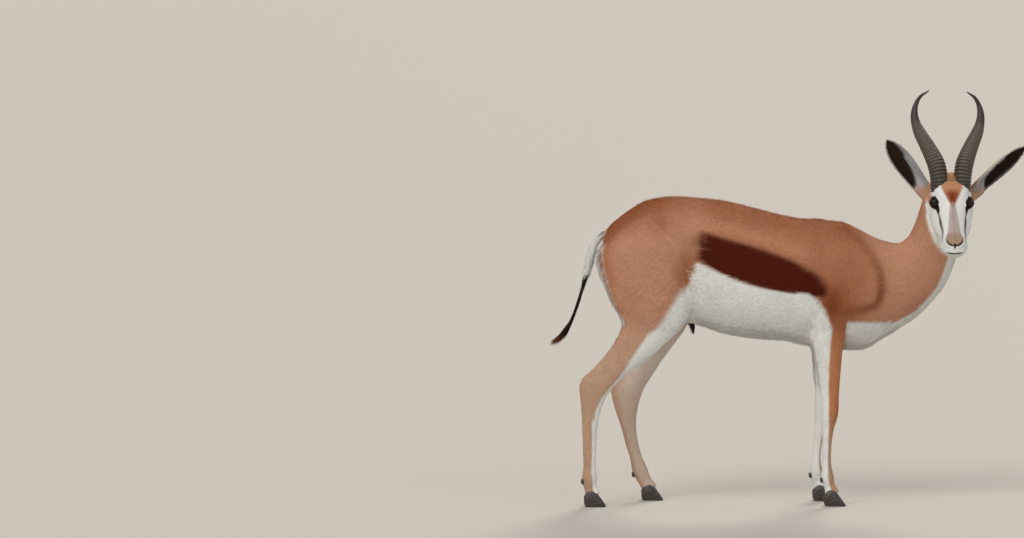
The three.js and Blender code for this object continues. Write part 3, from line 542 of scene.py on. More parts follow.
NOSTRIL_LINE = np.array([[207, 24, -25], [214, 23, -25], [222, 20.5, -27], [229, 14, -30], [233, 7, -31]])
CLEFT_LINE = np.array([[233, 0, -28], [238, 0, -33], [242, 0, -39]])
# Eyelids: half the opening's length and height, how far past that length its corners lie, how far
# round the eye's middle the lids reach, where they blend into the face, and a value for elsewhere.
OPENING = [15.0, 9.2]
CORNER = 1.12
LIDS_REACH = 34
LIDS_END = 1.1
FAR = 9.0


def eye_frame(side):
    """Middle of an eye and the ways its opening runs, rises and looks, in the head's frame."""
    flip = np.array([1, side, 1])
    look = unit(EYE_LOOK * flip)
    rise = unit(np.cross(EYE_CORNERS, unit(EYE_LOOK))) * flip
    run = unit(EYE_CORNERS * flip - (EYE_CORNERS * flip) @ look * look)
    return EYE_PLACE * flip, run, rise, look


def lid_arc(share):
    """Height of the opening along it, from 1 in the middle to 0 in the corners: the root of 1 minus
    the share of its half length, over the corner's, to the power 2.2."""
    return np.sqrt(np.clip(1 - np.abs(share / CORNER) ** 2.2, 0, None))


def past_lids(in_head, side):
    """How far past the lids' edge of one eye each place lies, in heights of the opening: -1 in its
    middle, 0 on the edge, more outside. The upper edge is highest behind the middle."""
    centre, run_way, rise_way, look = eye_frame(side)
    long, high = OPENING
    away = in_head - centre
    run, rise = away @ run_way, away @ rise_way
    edge = high * np.where(rise > 0, 1.0 + 0.12 * -run / long, 0.86) * lid_arc(run / long)
    beyond = (np.abs(rise) - edge + np.maximum(np.abs(run) - CORNER * long, 0)) / high
    near = (away @ look > 0) & (np.linalg.norm(away, axis=1) < LIDS_REACH)
    return np.where(near, beyond, FAR)


def near_face(points, reach):
    """Points within the reach of an eye, the mouth or the nose, counted in the drawing's frame."""
    spot = abreast(into_head(points))
    eye = np.linalg.norm(spot - EYE_PLACE, axis=1)
    mouth, _ = gap_to_line(spot, MOUTH_LINE)
    nose, _ = gap_to_line(spot, NOSTRIL_LINE)
    return (eye < 18 + reach) | (np.minimum(mouth, nose) < reach)


points, faces = points_of(skin), triangles_of(skin)
points, faces = divided(points, faces, near_face(points, 9))
points, faces = divided(points, faces, near_face(points, 4))
bpy.data.objects.remove(skin)
skin = new_mesh("skin", in_metres(points), faces)
fine = skin.vertex_groups.new(name="fine")
fine.add(np.nonzero(near_face(points, 16))[0].tolist(), 1.0, "REPLACE")
even = skin.modifiers.new("even", "SMOOTH")
even.vertex_group = fine.name
even.factor = 0.5
even.iterations = 5
settle(skin)


def raise_forms(push, spots, forms, share=1.0):
    """Adds every form to the push at each spot: its height times e to the minus squared distance
    from its middle, with each axis counted in the form's own reach."""
    for x, y, z, reach_x, reach_y, reach_z, height in forms:
        spread = (((spots[:, 0] - x) / reach_x) ** 2 + ((spots[:, 1] - y) / reach_y) ** 2
                  + ((spots[:, 2] - z) / reach_z) ** 2)
        push += height * np.exp(-spread) * share


points, normals = points_of(skin), normals_of(skin)
push = np.zeros(len(points))
clear_of_head = np.clip((-into_head(points)[:, 0] + 20) / 30 + (points[:, 2] < 760), 0, 1)
raise_forms(push, abreast(points), BODY_FORMS, clear_of_head)
for leg, (rows, side) in LEGS.items():
    columns = on_side(rows, side).T[:6]
    for row, share, reach, height in LEG_GROOVES[leg[:4]]:
        crest_x, crest_z, keel_x, keel_z, middle_y, half = (
            np.interp(row, np.arange(len(rows)), column) for column in columns)
        for face in (-1, 1):
            middle = [crest_x + (keel_x - crest_x) * share, middle_y + face * half * 0.8,
                      crest_z + (keel_z - crest_z) * share]
            raise_forms(push, points, [[*middle, reach, 14, 2.6 * reach, height]])
spot = abreast(into_head(points))
raise_forms(push, spot, HEAD_FORMS)
mouth_gap, _ = gap_to_line(spot, MOUTH_LINE)
push += 2.0 * np.exp(-(mouth_gap / 7) ** 2) - 6.5 * np.exp(-(mouth_gap / 1.7) ** 2)
nostril_gap, nostril_share = gap_to_line(spot, NOSTRIL_LINE)
push += 1.8 * np.exp(-(nostril_gap / 7) ** 2)
push -= 6.0 * np.exp(-(nostril_gap / 2.1) ** 2) * np.clip(0.3 + 1.6 * nostril_share, 0, 1)
cleft_gap, _ = gap_to_line(spot, CLEFT_LINE)
push -= 1.6 * np.exp(-(cleft_gap / 1.6) ** 2)
points = points + push[:, None] * normals

# Lids: folded rims round each opening, and inside it the skin turns in behind the eyeball.
in_head = into_head(points)
for side in (-1, 1):
    centre = eye_frame(side)[0]
    away = in_head - centre
    distance = np.linalg.norm(away, axis=1)
    beyond = past_lids(in_head, side)
    rim = EYE_RADIUS + 0.5 + 2.2 * np.exp(-((beyond - 0.16) / 0.16) ** 2)
    fold = 0.9 * np.exp(-((beyond - 0.62) / 0.12) ** 2)
    blend = np.clip((LIDS_END - beyond) / 0.7, 0, 1)
    lid = rim * blend + np.maximum(rim, distance - fold) * (1 - blend)
    wanted = np.where(beyond < 0, EYE_RADIUS - 4.0, lid)
    moved = centre + away / np.maximum(distance, 1e-6)[:, None] * wanted[:, None]
    in_head = np.where((beyond < LIDS_END)[:, None], moved, in_head)
skin.data.vertices.foreach_set("co", in_metres(out_of_head(in_head)).astype(np.float32).ravel())
skin.data.update()

# Markings. One rule of colours serves the skin and every tuft of hair that grows from it: a white
# face, belly and rump, a dark stripe on each flank, fawn elsewhere. Soft edges stand for the mixed
# hair along each border.


def linear(red, green, blue):
    """Colour as seen, each part of 255, in the light's own scale."""
    seen = np.array([red, green, blue]) / 255
    return np.where(seen < 0.04045, seen / 12.92, ((seen + 0.055) / 1.055) ** 2.4)


FAWN = linear(190, 138, 110)
SADDLE = linear(168, 110, 80)
# Darker brown of the back, partly the coat's own and partly painted shade; it also paints the shade in the
# hip's hollow.
BACK_BROWN_AND_SHADE = linear(146, 84, 54)
FAWN_PALE = linear(196, 145, 115)
CINNAMON = linear(142, 77, 42)
STRIPE = linear(70, 14, 3)
WHITE = linear(226, 226, 222)
CREAM = linear(208, 198, 184)
LEG_GREY = linear(180, 154, 130)
FORE_TAN = linear(182, 118, 74)
FOREHEAD = linear(184, 134, 100)
RUSSET = linear(122, 52, 28)
BRIDGE = linear(160, 142, 134)
NOSE_TOP = linear(160, 132, 108)
BLACK = linear(32, 22, 17)
EAR_DARK = linear(40, 26, 20)
EAR_GREY = linear(168, 166, 166)

SIDE_STRIPE = [
    [-252, 736], [-245, 744], [-228, 741], [-187, 727], [-112, 707], [-56, 688], [1, 667], [38, 648],
    [74, 624], [96, 594], [92, 568], [58, 570], [39, 580], [1, 579], [-55, 589], [-112, 603],
    [-168, 622], [-214, 646], [-243, 662], [-252, 672],
]
WHITE_UNDER = [
    [-256, 662], [-214, 644], [-168, 621], [-112, 602], [-55, 588], [1, 579], [39, 581], [58, 572],
    [80, 545], [96, 517], [110, 483], [108, 440], [60, 300], [-200, 300], [-320, 480], [-345, 500],
    [-318, 542], [-285, 585], [-268, 615],
]
CHEST = [[150, 500], [214, 497], [292, 494], [400, 520], [400, 300], [146, 300], [146, 440]]
RUMP_EDGE = [[-475, 790], [-500, 757], [-517, 713], [-517, 672], [-514, 637], [-500, 596], [-489, 558],
             [-468, 521], [-454, 499]]
RUMP_WIDE = 8
PALE_BAND = [[-215, 762], [-120, 738], [-40, 713], [38, 683]]
# Crease between shoulder and neck, along which the coat is darkened as painted shade.
CREASE_SHADE_LINE = [[150, 748], [190, 712], [222, 670], [240, 630], [244, 589], [238, 560], [226, 543], [190, 531],
          [150, 528]]
THROAT_KEEL = [[292, 475], [350, 509], [391, 552], [416, 583], [434, 618], [450, 662], [462, 705],
               [470, 750]]
THROAT_WIDE = [22, 20, 20, 22, 25, 28, 36, 60]
JAW_WHITE = [[372, 857], [368, 833], [366, 811], [366, 776], [375, 741], [384, 715], [399, 696], [413, 682]]
CHEEK_STRIPE = np.array([[97, 38, -20], [114, 42, -25], [144, 36, -29], [181, 31, -31], [205, 31, -40],
                         [210, 32, -54]])
CHEEK_STRIPE_WIDE = [7, 6.5, 5.6, 5, 4, 2.6]
# White share of each leg, seen from outside: row of its table and the share from front to rear.
HIND_WHITE = [[3, 0.12], [4, 0.2], [5, 0.27], [6, 0.34], [7, 0.42], [8, 0.42], [9, 0.35], [10, 0.2],
              [11, 0.14], [12, 0.16], [13, 0.24], [14, 0.32], [20, 0.34]]
FORE_FAWN = [[4, 0.42], [5, 0.45], [6, 0.5], [8, 0.57], [10, 0.57], [11, 0.48], [12, 0.42], [14, 0.4],
             [17, 0.5]]
# Deeper brown in soft patches: colour, strength, middle x and z, reach in x and z. The first and third,
# below the stripe's front end down to the elbow, are partly the coat's own cinnamon and partly painted
# shade; the second, on the shoulder by the crease, and the last, in the fold between flank and thigh,
# are painted shade.
BROWN_AND_SHADE_PATCHES = [
    [CINNAMON * 1.25, 0.75, 112, 545, 50, 62],
    [CINNAMON * 1.2, 0.3, 196, 620, 36, 75],
    [CINNAMON * 0.6, 0.85, 110, 548, 28, 46],
    [CINNAMON * 0.9, 0.8, -278, 628, 34, 78],
]
# Where the dark of the ear's inside ends: share along the ear, and share across it.
EAR_DARK_EDGE = [[0.23, -1], [0.28, -0.4], [0.36, 0.05], [0.46, 0.3], [0.6, 0.5], [0.75, 0.68], [1, 0.85]]


def ramp(value, low, high):
    """0 below low and 1 above high, with an eased slope between them."""
    t = np.clip((value - low) / (high - low), 0, 1)
    return t * t * (3 - 2 * t)


def band(value, start, full, fade, end):
    """0 up to the start, 1 from full to fade and 0 past the end, with eased slopes."""
    return ramp(value, start, full) * ramp(-value, -end, -fade)


def falloff(x, z, middle_x, middle_z, reach_x, reach_z):
    """1 in the middle of a patch; e to the minus squared distance, each way in its own reach."""
    return np.exp(-((x - middle_x) / reach_x) ** 2 - ((z - middle_z) / reach_z) ** 2)


def line_at(z, line):
    """x of a line at each height, for a line whose places are listed from the top down."""
    return np.interp(z, [place[1] for place in line][::-1], [place[0] for place in line][::-1])


def inside_of(points, corners):
    """Signed distance into a flat outline: more than 0 inside it."""
    corners = np.asarray(corners, float)
    gap, _ = gap_to_line(points, np.concatenate([corners, corners[:1]]))
    a, b = corners, np.roll(corners, -1, axis=0)
    crosses = (a[:, 1] > points[:, 1, None]) != (b[:, 1] > points[:, 1, None])
    with np.errstate(divide="ignore", invalid="ignore"):
        at = a[:, 0] + (points[:, 1, None] - a[:, 1]) * (b[:, 0] - a[:, 0]) / (b[:, 1] - a[:, 1])
    odd = (crosses & (points[:, 0, None] < at)).sum(1) % 2 == 1
    return np.where(odd, gap, -gap)


def over(base, colour, share):
    """The base with that share of the colour laid over it."""
    return base * (1 - share[:, None]) + colour * share[:, None]


# Charts: each limb's surface as rings, so that a place on the skin has a share round and along it.
ROUND, ALONG = 36, 44
CHARTS = {
    "trunk": ovals(refined(TRUNK, 6), ROUND),
    "head": out_of_head(ovals(refined(HEAD, 6), ROUND)),
    "tail": tube(tail_path, tail_half * TAIL_CORE, ROUND),
    "ear_right": ear_rings("right", ROUND, ALONG),
    "ear_left": ear_rings("left", ROUND, ALONG),
}
for leg, (rows, side) in LEGS.items():
    CHARTS[leg] = ovals(on_side(refined(rows, 6), side), ROUND)
CHART_NAMES = np.array(list(CHARTS))
# Each chart, in that order: its lower corner and its size in the unit square, first round and then
# along, and its girth and length in metres.
CHART_PLACES = np.array([
    [0.01, 0.01, 0.46, 0.97, 0.55, 1.4],
    [0.49, 0.01, 0.24, 0.26, 0.3, 0.26],
    [0.75, 0.01, 0.06, 0.3, 0.06, 0.35],
    [0.83, 0.01, 0.07, 0.2, 0.15, 0.2],
    [0.92, 0.01, 0.07, 0.2, 0.15, 0.2],
    [0.49, 0.34, 0.11, 0.64, 0.3, 0.85],
    [0.62, 0.34, 0.11, 0.64, 0.3, 0.85],
    [0.75, 0.34, 0.11, 0.64, 0.2, 0.75],
    [0.88, 0.34, 0.11, 0.64, 0.2, 0.75],
])

samples = []
for index, rings in enumerate(CHARTS.values()):
    rings = rings[np.unique(np.linspace(0, len(rings) - 1, ALONG).astype(int))]
    count = len(rings)
    turn = (np.roll(rings, -1, axis=1) - np.roll(rings, 1, axis=1)) / 2
    samples.append((
        rings.reshape(-1, 3),
        np.tile(np.arange(ROUND) / ROUND, count),
        np.repeat(np.arange(count) / (count - 1), ROUND),
        np.full(count * ROUND, index),
        np.gradient(rings, axis=0).reshape(-1, 3),
        turn.reshape(-1, 3),
    ))
sample_points, sample_round, sample_along, sample_chart, sample_run, sample_turn = (
    np.concatenate(part) for part in zip(*samples))


def on_chart(points):
    """For each point the limb it lies on, its share round and along it, and the way along it: the
    nearest sample of the charts, carried on by the point's own offset from it."""
    nearest = np.empty(len(points), np.int64)
    many = sample_points.astype(np.float32)
    square = (many**2).sum(1)
    for start in range(0, len(points), 4000):
        part = points[start:start + 4000].astype(np.float32)
        nearest[start:start + 4000] = np.argmin(square - 2 * part @ many.T, axis=1)
    offset = points - sample_points[nearest]
    turn, run = sample_turn[nearest], sample_run[nearest]
    across = (offset * turn).sum(1) / np.maximum((turn**2).sum(1), 1e-6)
    onward = (offset * run).sum(1) / np.maximum((run**2).sum(1), 1e-6)
    round_share = (sample_round[nearest] + np.clip(across, -1, 1) / ROUND) % 1
    along_share = np.clip(sample_along[nearest] + np.clip(onward, -1, 1) / (ALONG - 1), 0, 1)
    return sample_chart[nearest], round_share, along_share, unit(run)


def ear_place(points, side):
    """Share along the ear, share across it with the head's side positive, and the way it opens."""
    root, tip, across, front = ear_axes(side)
    away = points - root
    t = away @ (tip - root) / ((tip - root) @ (tip - root))
    wide = np.interp(t, EAR[:, 0], EAR[:, 1])
    inner = (away @ across) / wide * (1 if side == "right" else -1)
    return t, inner, front


def head_colours(points):
    """Face: white, with the fawn forehead that comes to a russet point, the grey bridge, the dark
    line from the eye to the mouth, and dark bare skin round eye, nose and lips."""
    in_head = into_head(points)
    spot = abreast(in_head)
    x, y, z = spot.T
    upper = ramp(z, -46, -30)
    patch = np.interp(x, [20, 34, 46, 58, 72, 86, 98, 110, 118], [30, 26, 29, 27, 21, 15, 10, 4.5, 0])
    brow = ramp(patch - y, -5, 4) * ramp(z, -40, -20)
    crown = ramp(34 - x, -4, 8) * ramp(z, -75, -45)
    nape = ramp(34 - x - 0.15 * (z + 60), -6, 10)
    russet = ramp(x, 54, 78) * np.exp(-(y / np.maximum(1.1 * patch, 8)) ** 2)
    colour = over(WHITE, FOREHEAD, np.maximum(crown, nape) * 0.92)
    colour = over(colour, over(FOREHEAD, RUSSET, russet), brow)
    bridge = np.interp(x, [90, 104, 116, 130, 160, 190, 204, 216, 226, 232, 236],
                       [-6, 4, 9, 10.5, 14, 17, 21, 22, 19, 12, -4])
    colour = over(colour, BRIDGE, ramp(bridge - y, -4, 4) * upper * 0.8)
    colour = over(colour, NOSE_TOP, ramp(x, 186, 206) * ramp(bridge + 1 - y, -2, 3) * upper * 0.8)
    temple, _ = gap_to_line(spot, [[62, 56, -30], [46, 60, -34], [24, 56, -40], [6, 50, -44]])
    colour = over(colour, FOREHEAD * 0.9, ramp(-temple, -15, -8) * 0.9)
    gap, share = gap_to_line(spot, CHEEK_STRIPE)
    wide = spread_along(share, CHEEK_STRIPE_WIDE)
    colour = over(colour, BLACK * 1.5, ramp(wide - gap, -1.8, 1.8) * np.clip(1.3 - share, 0, 1))
    lids = np.minimum(past_lids(in_head, -1), past_lids(in_head, 1))
    colour = over(colour, BLACK, ramp(-lids, -0.9, -0.55))
    gap, share = gap_to_line(spot, NOSTRIL_LINE)
    colour = over(colour, BLACK * 0.9, ramp(-gap, -3.8, -1.6) * np.clip(0.2 + 1.1 * share, 0, 1))
    gap, share = gap_to_line(spot, CLEFT_LINE)
    colour = over(colour, BLACK * 0.9, ramp(4.2 - 3.4 * share - gap, -1.2, 1.2))
    gap, _ = gap_to_line(spot, MOUTH_LINE)
    colour = over(colour, BLACK, ramp(-gap, -3.6, -1.6))
    return colour


def hair_colours(points, normals, chart, round_share, along_share):
    """Colour of the coat at each place, in the order in which the borders lie over each other."""
    x, y, z = points.T
    flat = points[:, [0, 2]]
    names = CHART_NAMES[chart]
    hind, fore = np.char.startswith(names, "hind"), np.char.startswith(names, "fore")

    # Fawn, paler at the throat and in a band over the stripe, and browner along the back, partly as painted
    # shade; painted shade darkens the hip's hollow, the haunch's rear edge, the crease and the folds.
    colour = over(FAWN, SADDLE, band(x, -270, -190, 150, 235) * (z > 440) * 0.9)
    crest = np.interp(x, *np.transpose(TRUNK[:18])[:2])
    # Darker along the back: partly the coat's own colour and partly painted shade on the upper surfaces.
    back = ramp(z - crest, -82, -12) * band(x, -560, -420, 120, 200)
    colour = over(colour, BACK_BROWN_AND_SHADE, back * np.interp(x, [-420, -300, -150], [0.8, 0.6, 0.42]))
    # Painted shade in the hollow of the hip.
    colour = over(colour, BACK_BROWN_AND_SHADE, falloff(x, z, -355, 765, 42, 34) * 0.6)
    # Over the croup, darker near the top: partly the coat's own colour and partly painted shade.
    colour = over(colour, BACK_BROWN_AND_SHADE, ramp(z - crest, -52, -8) * ramp(-x, 300, 360) * 0.8)
    gap, _ = gap_to_line(flat, PALE_BAND)
    colour = over(colour, FAWN_PALE, np.exp(-(gap / 20) ** 2) * 0.35)
    for brown, strength, *place in BROWN_AND_SHADE_PATCHES:
        colour = over(colour, brown, falloff(x, z, *place) * strength)
    edge = line_at(z, RUMP_EDGE)
    # Painted shade along the haunch's rear edge, where it turns away beside the white rump.
    colour = over(colour, CINNAMON * 1.25, band(x - edge, -2, 26, 10, 52) * ramp(z, 560, 640) * 0.45)
    # Painted shade along the crease between shoulder and neck: a narrow dark line and a wider, fainter
    # darkening round it.
    gap, share = gap_to_line(flat, CREASE_SHADE_LINE)
    strength = np.interp(share, [0, 0.3, 0.5, 0.8, 1], [0.35, 0.6, 0.9, 0.75, 0.3])
    colour = over(colour, CINNAMON * 0.55, np.exp(-(gap / 11) ** 2) * strength)
    colour = over(colour, CINNAMON * 1.1, np.exp(-(gap / 24) ** 2) * strength * 0.35)
    colour = over(colour, FAWN_PALE, ramp(x, 300, 400) * ramp(z, 560, 640) * 0.35)

    # Legs: how far down the leg's table, how far to the rear and how far outwards each place lies.
    leg_row = along_share * (np.where(hind, len(HIND_RIGHT), len(FORE_RIGHT)) - 1)
    behind = (1 - np.cos(2 * np.pi * round_share)) / 2
    leg_side = np.where(np.char.endswith(names, "right"), -1, 1)
    outer = ramp(normals[:, 1] * leg_side, -0.25, 0.25)
    colour = over(colour, FORE_TAN, fore * ramp(-z, -500, -430) * 0.75)
    grey = np.where(hind, ramp(-z, -570, -380), ramp(-z, -260, -150)) * (hind | fore)
    colour = over(colour, LEG_GREY, grey * 0.7)
    knee = fore * np.exp(-((z - 262) / 16) ** 2) * ramp(-behind, -0.25, -0.05)
    colour = over(colour, CINNAMON * 1.3, knee * 0.6)

    # White belly, chest, inner legs, throat and jaw.
    belly = ramp(inside_of(flat, WHITE_UNDER), -3.5, 3.5)
    chest = ramp(inside_of(flat, CHEST), -3, 4)
    under = np.maximum(belly, chest)
    hind_line = np.interp(leg_row, *np.transpose(HIND_WHITE))
    fore_line = np.interp(leg_row, *np.transpose(FORE_FAWN))
    hind_outer = ramp(hind_line - behind, -0.05, 0.05) * ramp(-z, -640, -560)
    hind_inner = (0.25 + 0.25 * ramp(z, 250, 400)) * ramp(-behind, -0.97, -0.6)
    hind_inner = np.where(z < 600, np.maximum(hind_inner, ramp(z, 430, 520)), 1)
    hind_white = hind_outer * outer + hind_inner * (1 - outer)
    fore_white = ramp(behind - fore_line, -0.05, 0.05) * outer + ramp(behind, 0.08, 0.25) * (1 - outer)
    leg_white = np.where(hind, hind_white, fore_white)
    leg_zone = np.where(hind, ramp(-z, -610, -570), np.where(fore, ramp(-z, -480, -430), 0))
    under = under * (1 - leg_zone) + leg_white * leg_zone
    keel, share = gap_to_line(flat, THROAT_KEEL)
    throat = spread_along(share, THROAT_WIDE)
    under = np.maximum(under, ramp(throat - keel, -3, 4) * (x > 280) * (z < 790))
    jaw_white = ramp(x - line_at(z, JAW_WHITE), -4, 4) * band(z, 676, 690, 822, 838)
    far = np.interp(z, [690, 740, 800, 860], [56, 24, -2, -14])
    under = np.maximum(under, jaw_white * ramp(far - y, -9, 9))
    colour = over(colour, WHITE, under)

    # The stripe, whose border is softer along its top and at both ends, and the white rump.
    soft = 3.5 + 5 * ramp(z - np.interp(x, [-252, 1, 96], [700, 622, 580]), -14, 14)
    soft += 2 * ramp(-x, 205, 245) + 6 * ramp(x, 50, 84)
    dark = ramp(inside_of(flat, SIDE_STRIPE) / soft, -1, 1) * (~hind | (x > -300)) * (1 - leg_zone)
    colour = over(colour, STRIPE, dark * 0.97)
    between = ramp(74 - np.abs(y), -6, 6) * ramp(-x, 425, 440) * ramp(-z, -712, -684)
    rump_white = np.maximum(ramp(edge + RUMP_WIDE - x, -3, 3), between)
    colour = over(colour, WHITE, rump_white * band(z, 480, 510, 770, 792) * (x < -430))

    # Tail, sheath, head and ears have colours of their own.
    tail = over(WHITE, BLACK, ramp(-z, -590, -560))
    colour = np.where((names == "tail")[:, None], tail, colour)
    sheath = (np.abs(x + 266) < 16) & (z < 492) & (np.abs(y) < 14)
    colour = np.where(sheath[:, None], BLACK * 1.6, colour)
    colour = np.where((names == "head")[:, None], head_colours(points), colour)
    for side in EARS:
        t, inner, front = ear_place(points, side)
        mine = (names == f"ear_{side}") & (t > 0.02)
        facing = ramp(normals @ front, -0.15, 0.25)
        edge = np.interp(t, *np.transpose(EAR_DARK_EDGE))
        dark = ramp(edge - inner, -0.22, 0.22) * ramp(inner, -0.95, -0.8) * ramp(t, 0.22, 0.3)
        shade = over(FAWN, CREAM, ramp(np.abs(inner), 0.72, 0.95) * 0.6)
        shade = over(shade, over(EAR_GREY, EAR_DARK, dark), facing)
        shade = over(shade, FOREHEAD, ramp(-t, -0.34, -0.12) * 0.8)
        colour = np.where(mine[:, None], shade, colour)
    return colour


def along_skin(ways, normals):
    """The ways with their part along the normals taken off, at unit length."""
    return unit(ways - (ways * normals).sum(1, keepdims=True) * normals)


def lie_of(points, normals, chart, run):
    """The way the hair lies: back along the trunk and a little down its sides, down each leg,
    back over the face, and out along ears and tail."""
    names = CHART_NAMES[chart]
    lie = np.where(np.isin(names, ["trunk", "head"])[:, None], -run, run)
    lie[:, 2] -= np.where(names == "trunk", 0.3, 0.05)
    top = np.isin(names, list(LEGS)) * ramp(points[:, 2], 500, 620)
    return along_skin(over(lie, np.array([-0.8, 0, -0.55]), top), normals)


def even_out(values, faces, rounds):
    """Averages each point's value with its neighbours', again and again."""
    a, b = np.concatenate([faces[:, [0, 1]], faces[:, [1, 2]], faces[:, [2, 0]]]).T
    share = 1 / np.maximum(np.bincount(a, minlength=len(values)), 1)
    for _ in range(rounds):
        total = np.stack([np.bincount(a, values[b, k], len(values)) for k in range(3)], 1)
        values = 0.4 * values + 0.6 * total * share[:, None]
    return values


points, normals, corners = points_of(skin), normals_of(skin), triangles_of(skin)
chart, round_share, along_share, run = on_chart(points)
skin_colours = hair_colours(points, normals, chart, round_share, along_share)

# Over the hip and the shoulder the lie is evened out more, so that it turns there in a wide bend.
skin_lie = even_out(lie_of(points, normals, chart, run), corners, 16)
x, y, z = points.T
hip = band(x, -480, -440, -210, -170) * ramp(z, 520, 580)
shoulder = band(x, 30, 70, 230, 270) * ramp(z, 480, 520)
skin_lie += np.maximum(hip, shoulder)[:, None] * (even_out(skin_lie, corners, 110) - skin_lie)
skin_lie = along_skin(skin_lie, normals)


def colour_attribute(piece, colours, name="hair_colour"):
    """Stores colours at a piece's points, for its material to read."""
    layer = piece.data.color_attributes.new(name, "FLOAT_COLOR", "POINT")
    rgba = np.concatenate([colours, np.ones((len(colours), 1))], 1)
    layer.data.foreach_set("color", rgba.astype(np.float32).ravel())


def grain_attribute(piece, values):
    """Stores the place on the limb, round and along in metres, that the hair's grain follows."""
    layer = piece.data.attributes.new("hair_grain", "FLOAT_VECTOR", "POINT")
    layer.data.foreach_set("vector", values.astype(np.float32).ravel())


colour_attribute(skin, skin_colours)
girth, reach = CHART_PLACES[chart, 4:].T
grain_attribute(skin, np.stack([np.abs(round_share - 0.5) * girth, along_share * reach, chart * 1.0], 1))


def new_group(name, sockets):
    """Node group with named sockets: (name, kind, in or out, default)."""
    group = bpy.data.node_groups.new(name, "ShaderNodeTree")
    for label, kind, way, default in sockets:
        socket = group.interface.new_socket(label, in_out=way, socket_type=kind)
        if default is not None:
            socket.default_value = default
    return group, group.nodes.new("NodeGroupInput"), group.nodes.new("NodeGroupOutput")


def add_node(tree, kind, inputs=None, **settings):
    """New node with its settings. Each of its inputs, by name or number, is linked where an output
    is given for it, and set where a value is."""
    node = tree.nodes.new(kind)
    for key, value in settings.items():
        setattr(node, key, value)
    for key, value in (inputs or {}).items():
        if isinstance(value, bpy.types.NodeSocket):
            tree.links.new(value, node.inputs[key])
        else:
            node.inputs[key].default_value = value
    return node


def maths(tree, operation, *values):
    """Output of a node that works out one number from others."""
    return add_node(tree, "ShaderNodeMath", dict(enumerate(values)), operation=operation).outputs[0]


def times(tree, vector, factor):
    """Output of a node that multiplies a vector or colour by a number."""
    inputs = {0: vector, "Scale": factor}
    return add_node(tree, "ShaderNodeVectorMath", inputs, operation="SCALE").outputs[0]


def stored(tree, name, output):
    """Output of a node that reads what is stored at the mesh's points."""
    return add_node(tree, "ShaderNodeAttribute", attribute_name=name).outputs[output]


def object_place(tree):
    """Output of a node that gives the place on the object in metres."""
    return add_node(tree, "ShaderNodeTexCoord").outputs["Object"]


def noise(tree, place, scale, detail, roughness=0.5, distortion=0.0):
    """Output of a node with soft noise, mostly from 0.2 to 0.8."""
    inputs = {"Vector": place, "Scale": scale, "Detail": detail, "Roughness": roughness,
              "Distortion": distortion}
    return add_node(tree, "ShaderNodeTexNoise", inputs).outputs["Fac"]


def hair_grain_group():
    """Streaks along the lie of the hair, from noise stretched along the limb, with broad mottling:
    the colour times 1 plus the contrast times both noises' sum, less 1."""
    group, come, go = new_group("hair grain", [
        ("Colour", "NodeSocketColor", "INPUT", (0.5, 0.5, 0.5, 1)),
        ("Fineness", "NodeSocketFloat", "INPUT", 1.0),
        ("Contrast", "NodeSocketFloat", "INPUT", 0.2),
        ("Colour", "NodeSocketColor", "OUTPUT", None),
        ("Height", "NodeSocketFloat", "OUTPUT", None),
    ])
    inputs = {0: stored(group, "hair_grain", "Vector"), 1: (900, 90, 7)}
    stretched = add_node(group, "ShaderNodeVectorMath", inputs, operation="MULTIPLY").outputs[0]
    finer = times(group, stretched, come.outputs["Fineness"])
    streak = noise(group, finer, 1.0, 4.0, 0.6, 0.4)
    broad = noise(group, object_place(group), 22.0, 5.0, 0.55)
    centred = maths(group, "SUBTRACT", maths(group, "ADD", streak, broad), 1.0)
    share = maths(group, "ADD", maths(group, "MULTIPLY", centred, come.outputs["Contrast"]), 1.0)
    group.links.new(times(group, come.outputs["Colour"], share), go.inputs["Colour"])
    group.links.new(streak, go.inputs["Height"])
    return group


hair_grain = hair_grain_group()


def new_material(name, finish):
    """Material of one shader, with its finish set on that shader's own inputs."""
    material = bpy.data.materials.new(name)
    material.use_nodes = True
    shader = material.node_tree.nodes["Principled BSDF"]
    for label, value in finish.items():
        shader.inputs[label].default_value = value
    return material, material.node_tree, shader


def add_bump(tree, shader, height, strength, depth):
    """Joins a height to the shader's normal, with the depth in metres."""
    bump = add_node(tree, "ShaderNodeBump", {"Height": height, "Strength": strength, "Distance": depth})
    tree.links.new(bump.outputs["Normal"], shader.inputs["Normal"])


def hair_material(name, fineness, contrast, bump, roughness=0.8, sheen=0.0):
    """Coat of hair: the colour stored at the points, streaked along the lie, with a fine bump."""
    material, tree, shader = new_material(name, {
        "Roughness": roughness, "Specular IOR Level": 0.08, "Sheen Weight": sheen, "Sheen Roughness": 0.5})
    inputs = {"Colour": stored(tree, "hair_colour", "Color"), "Fineness": fineness, "Contrast": contrast}
    grain = add_node(tree, "ShaderNodeGroup", inputs, node_tree=hair_grain)
    tree.links.new(grain.outputs["Colour"], shader.inputs["Base Color"])
    if bump:
        add_bump(tree, shader, grain.outputs["Height"], 0.6, bump)
    return material


skin.data.materials.clear()
skin.data.materials.append(hair_material("short hair over skin", 1.0, 0.3, 0.0006))
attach(skin, "root")
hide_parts("torso", "neck", "head", "tail", "tail_tuft", "sheath", "ear_right", "ear_left",
            *[f"leg_{leg}_{part}" for leg in LEGS for part in ("upper", "cannon", "pastern")])

# Coat. Short hair lies close over the whole hide and grows longer on the rump, the tail, the belly
# line, the ears and the poll. Each tuft is a thin blade that tapers from its root in the skin, lies
# along the limb and takes the colour of the place it grows from.
COAT_SEED = 11
PATCH = 0.003
SHORT, LONG = (0, 0.5), (0, 0.25, 0.55, 0.8)
dice = np.random.default_rng(COAT_SEED)

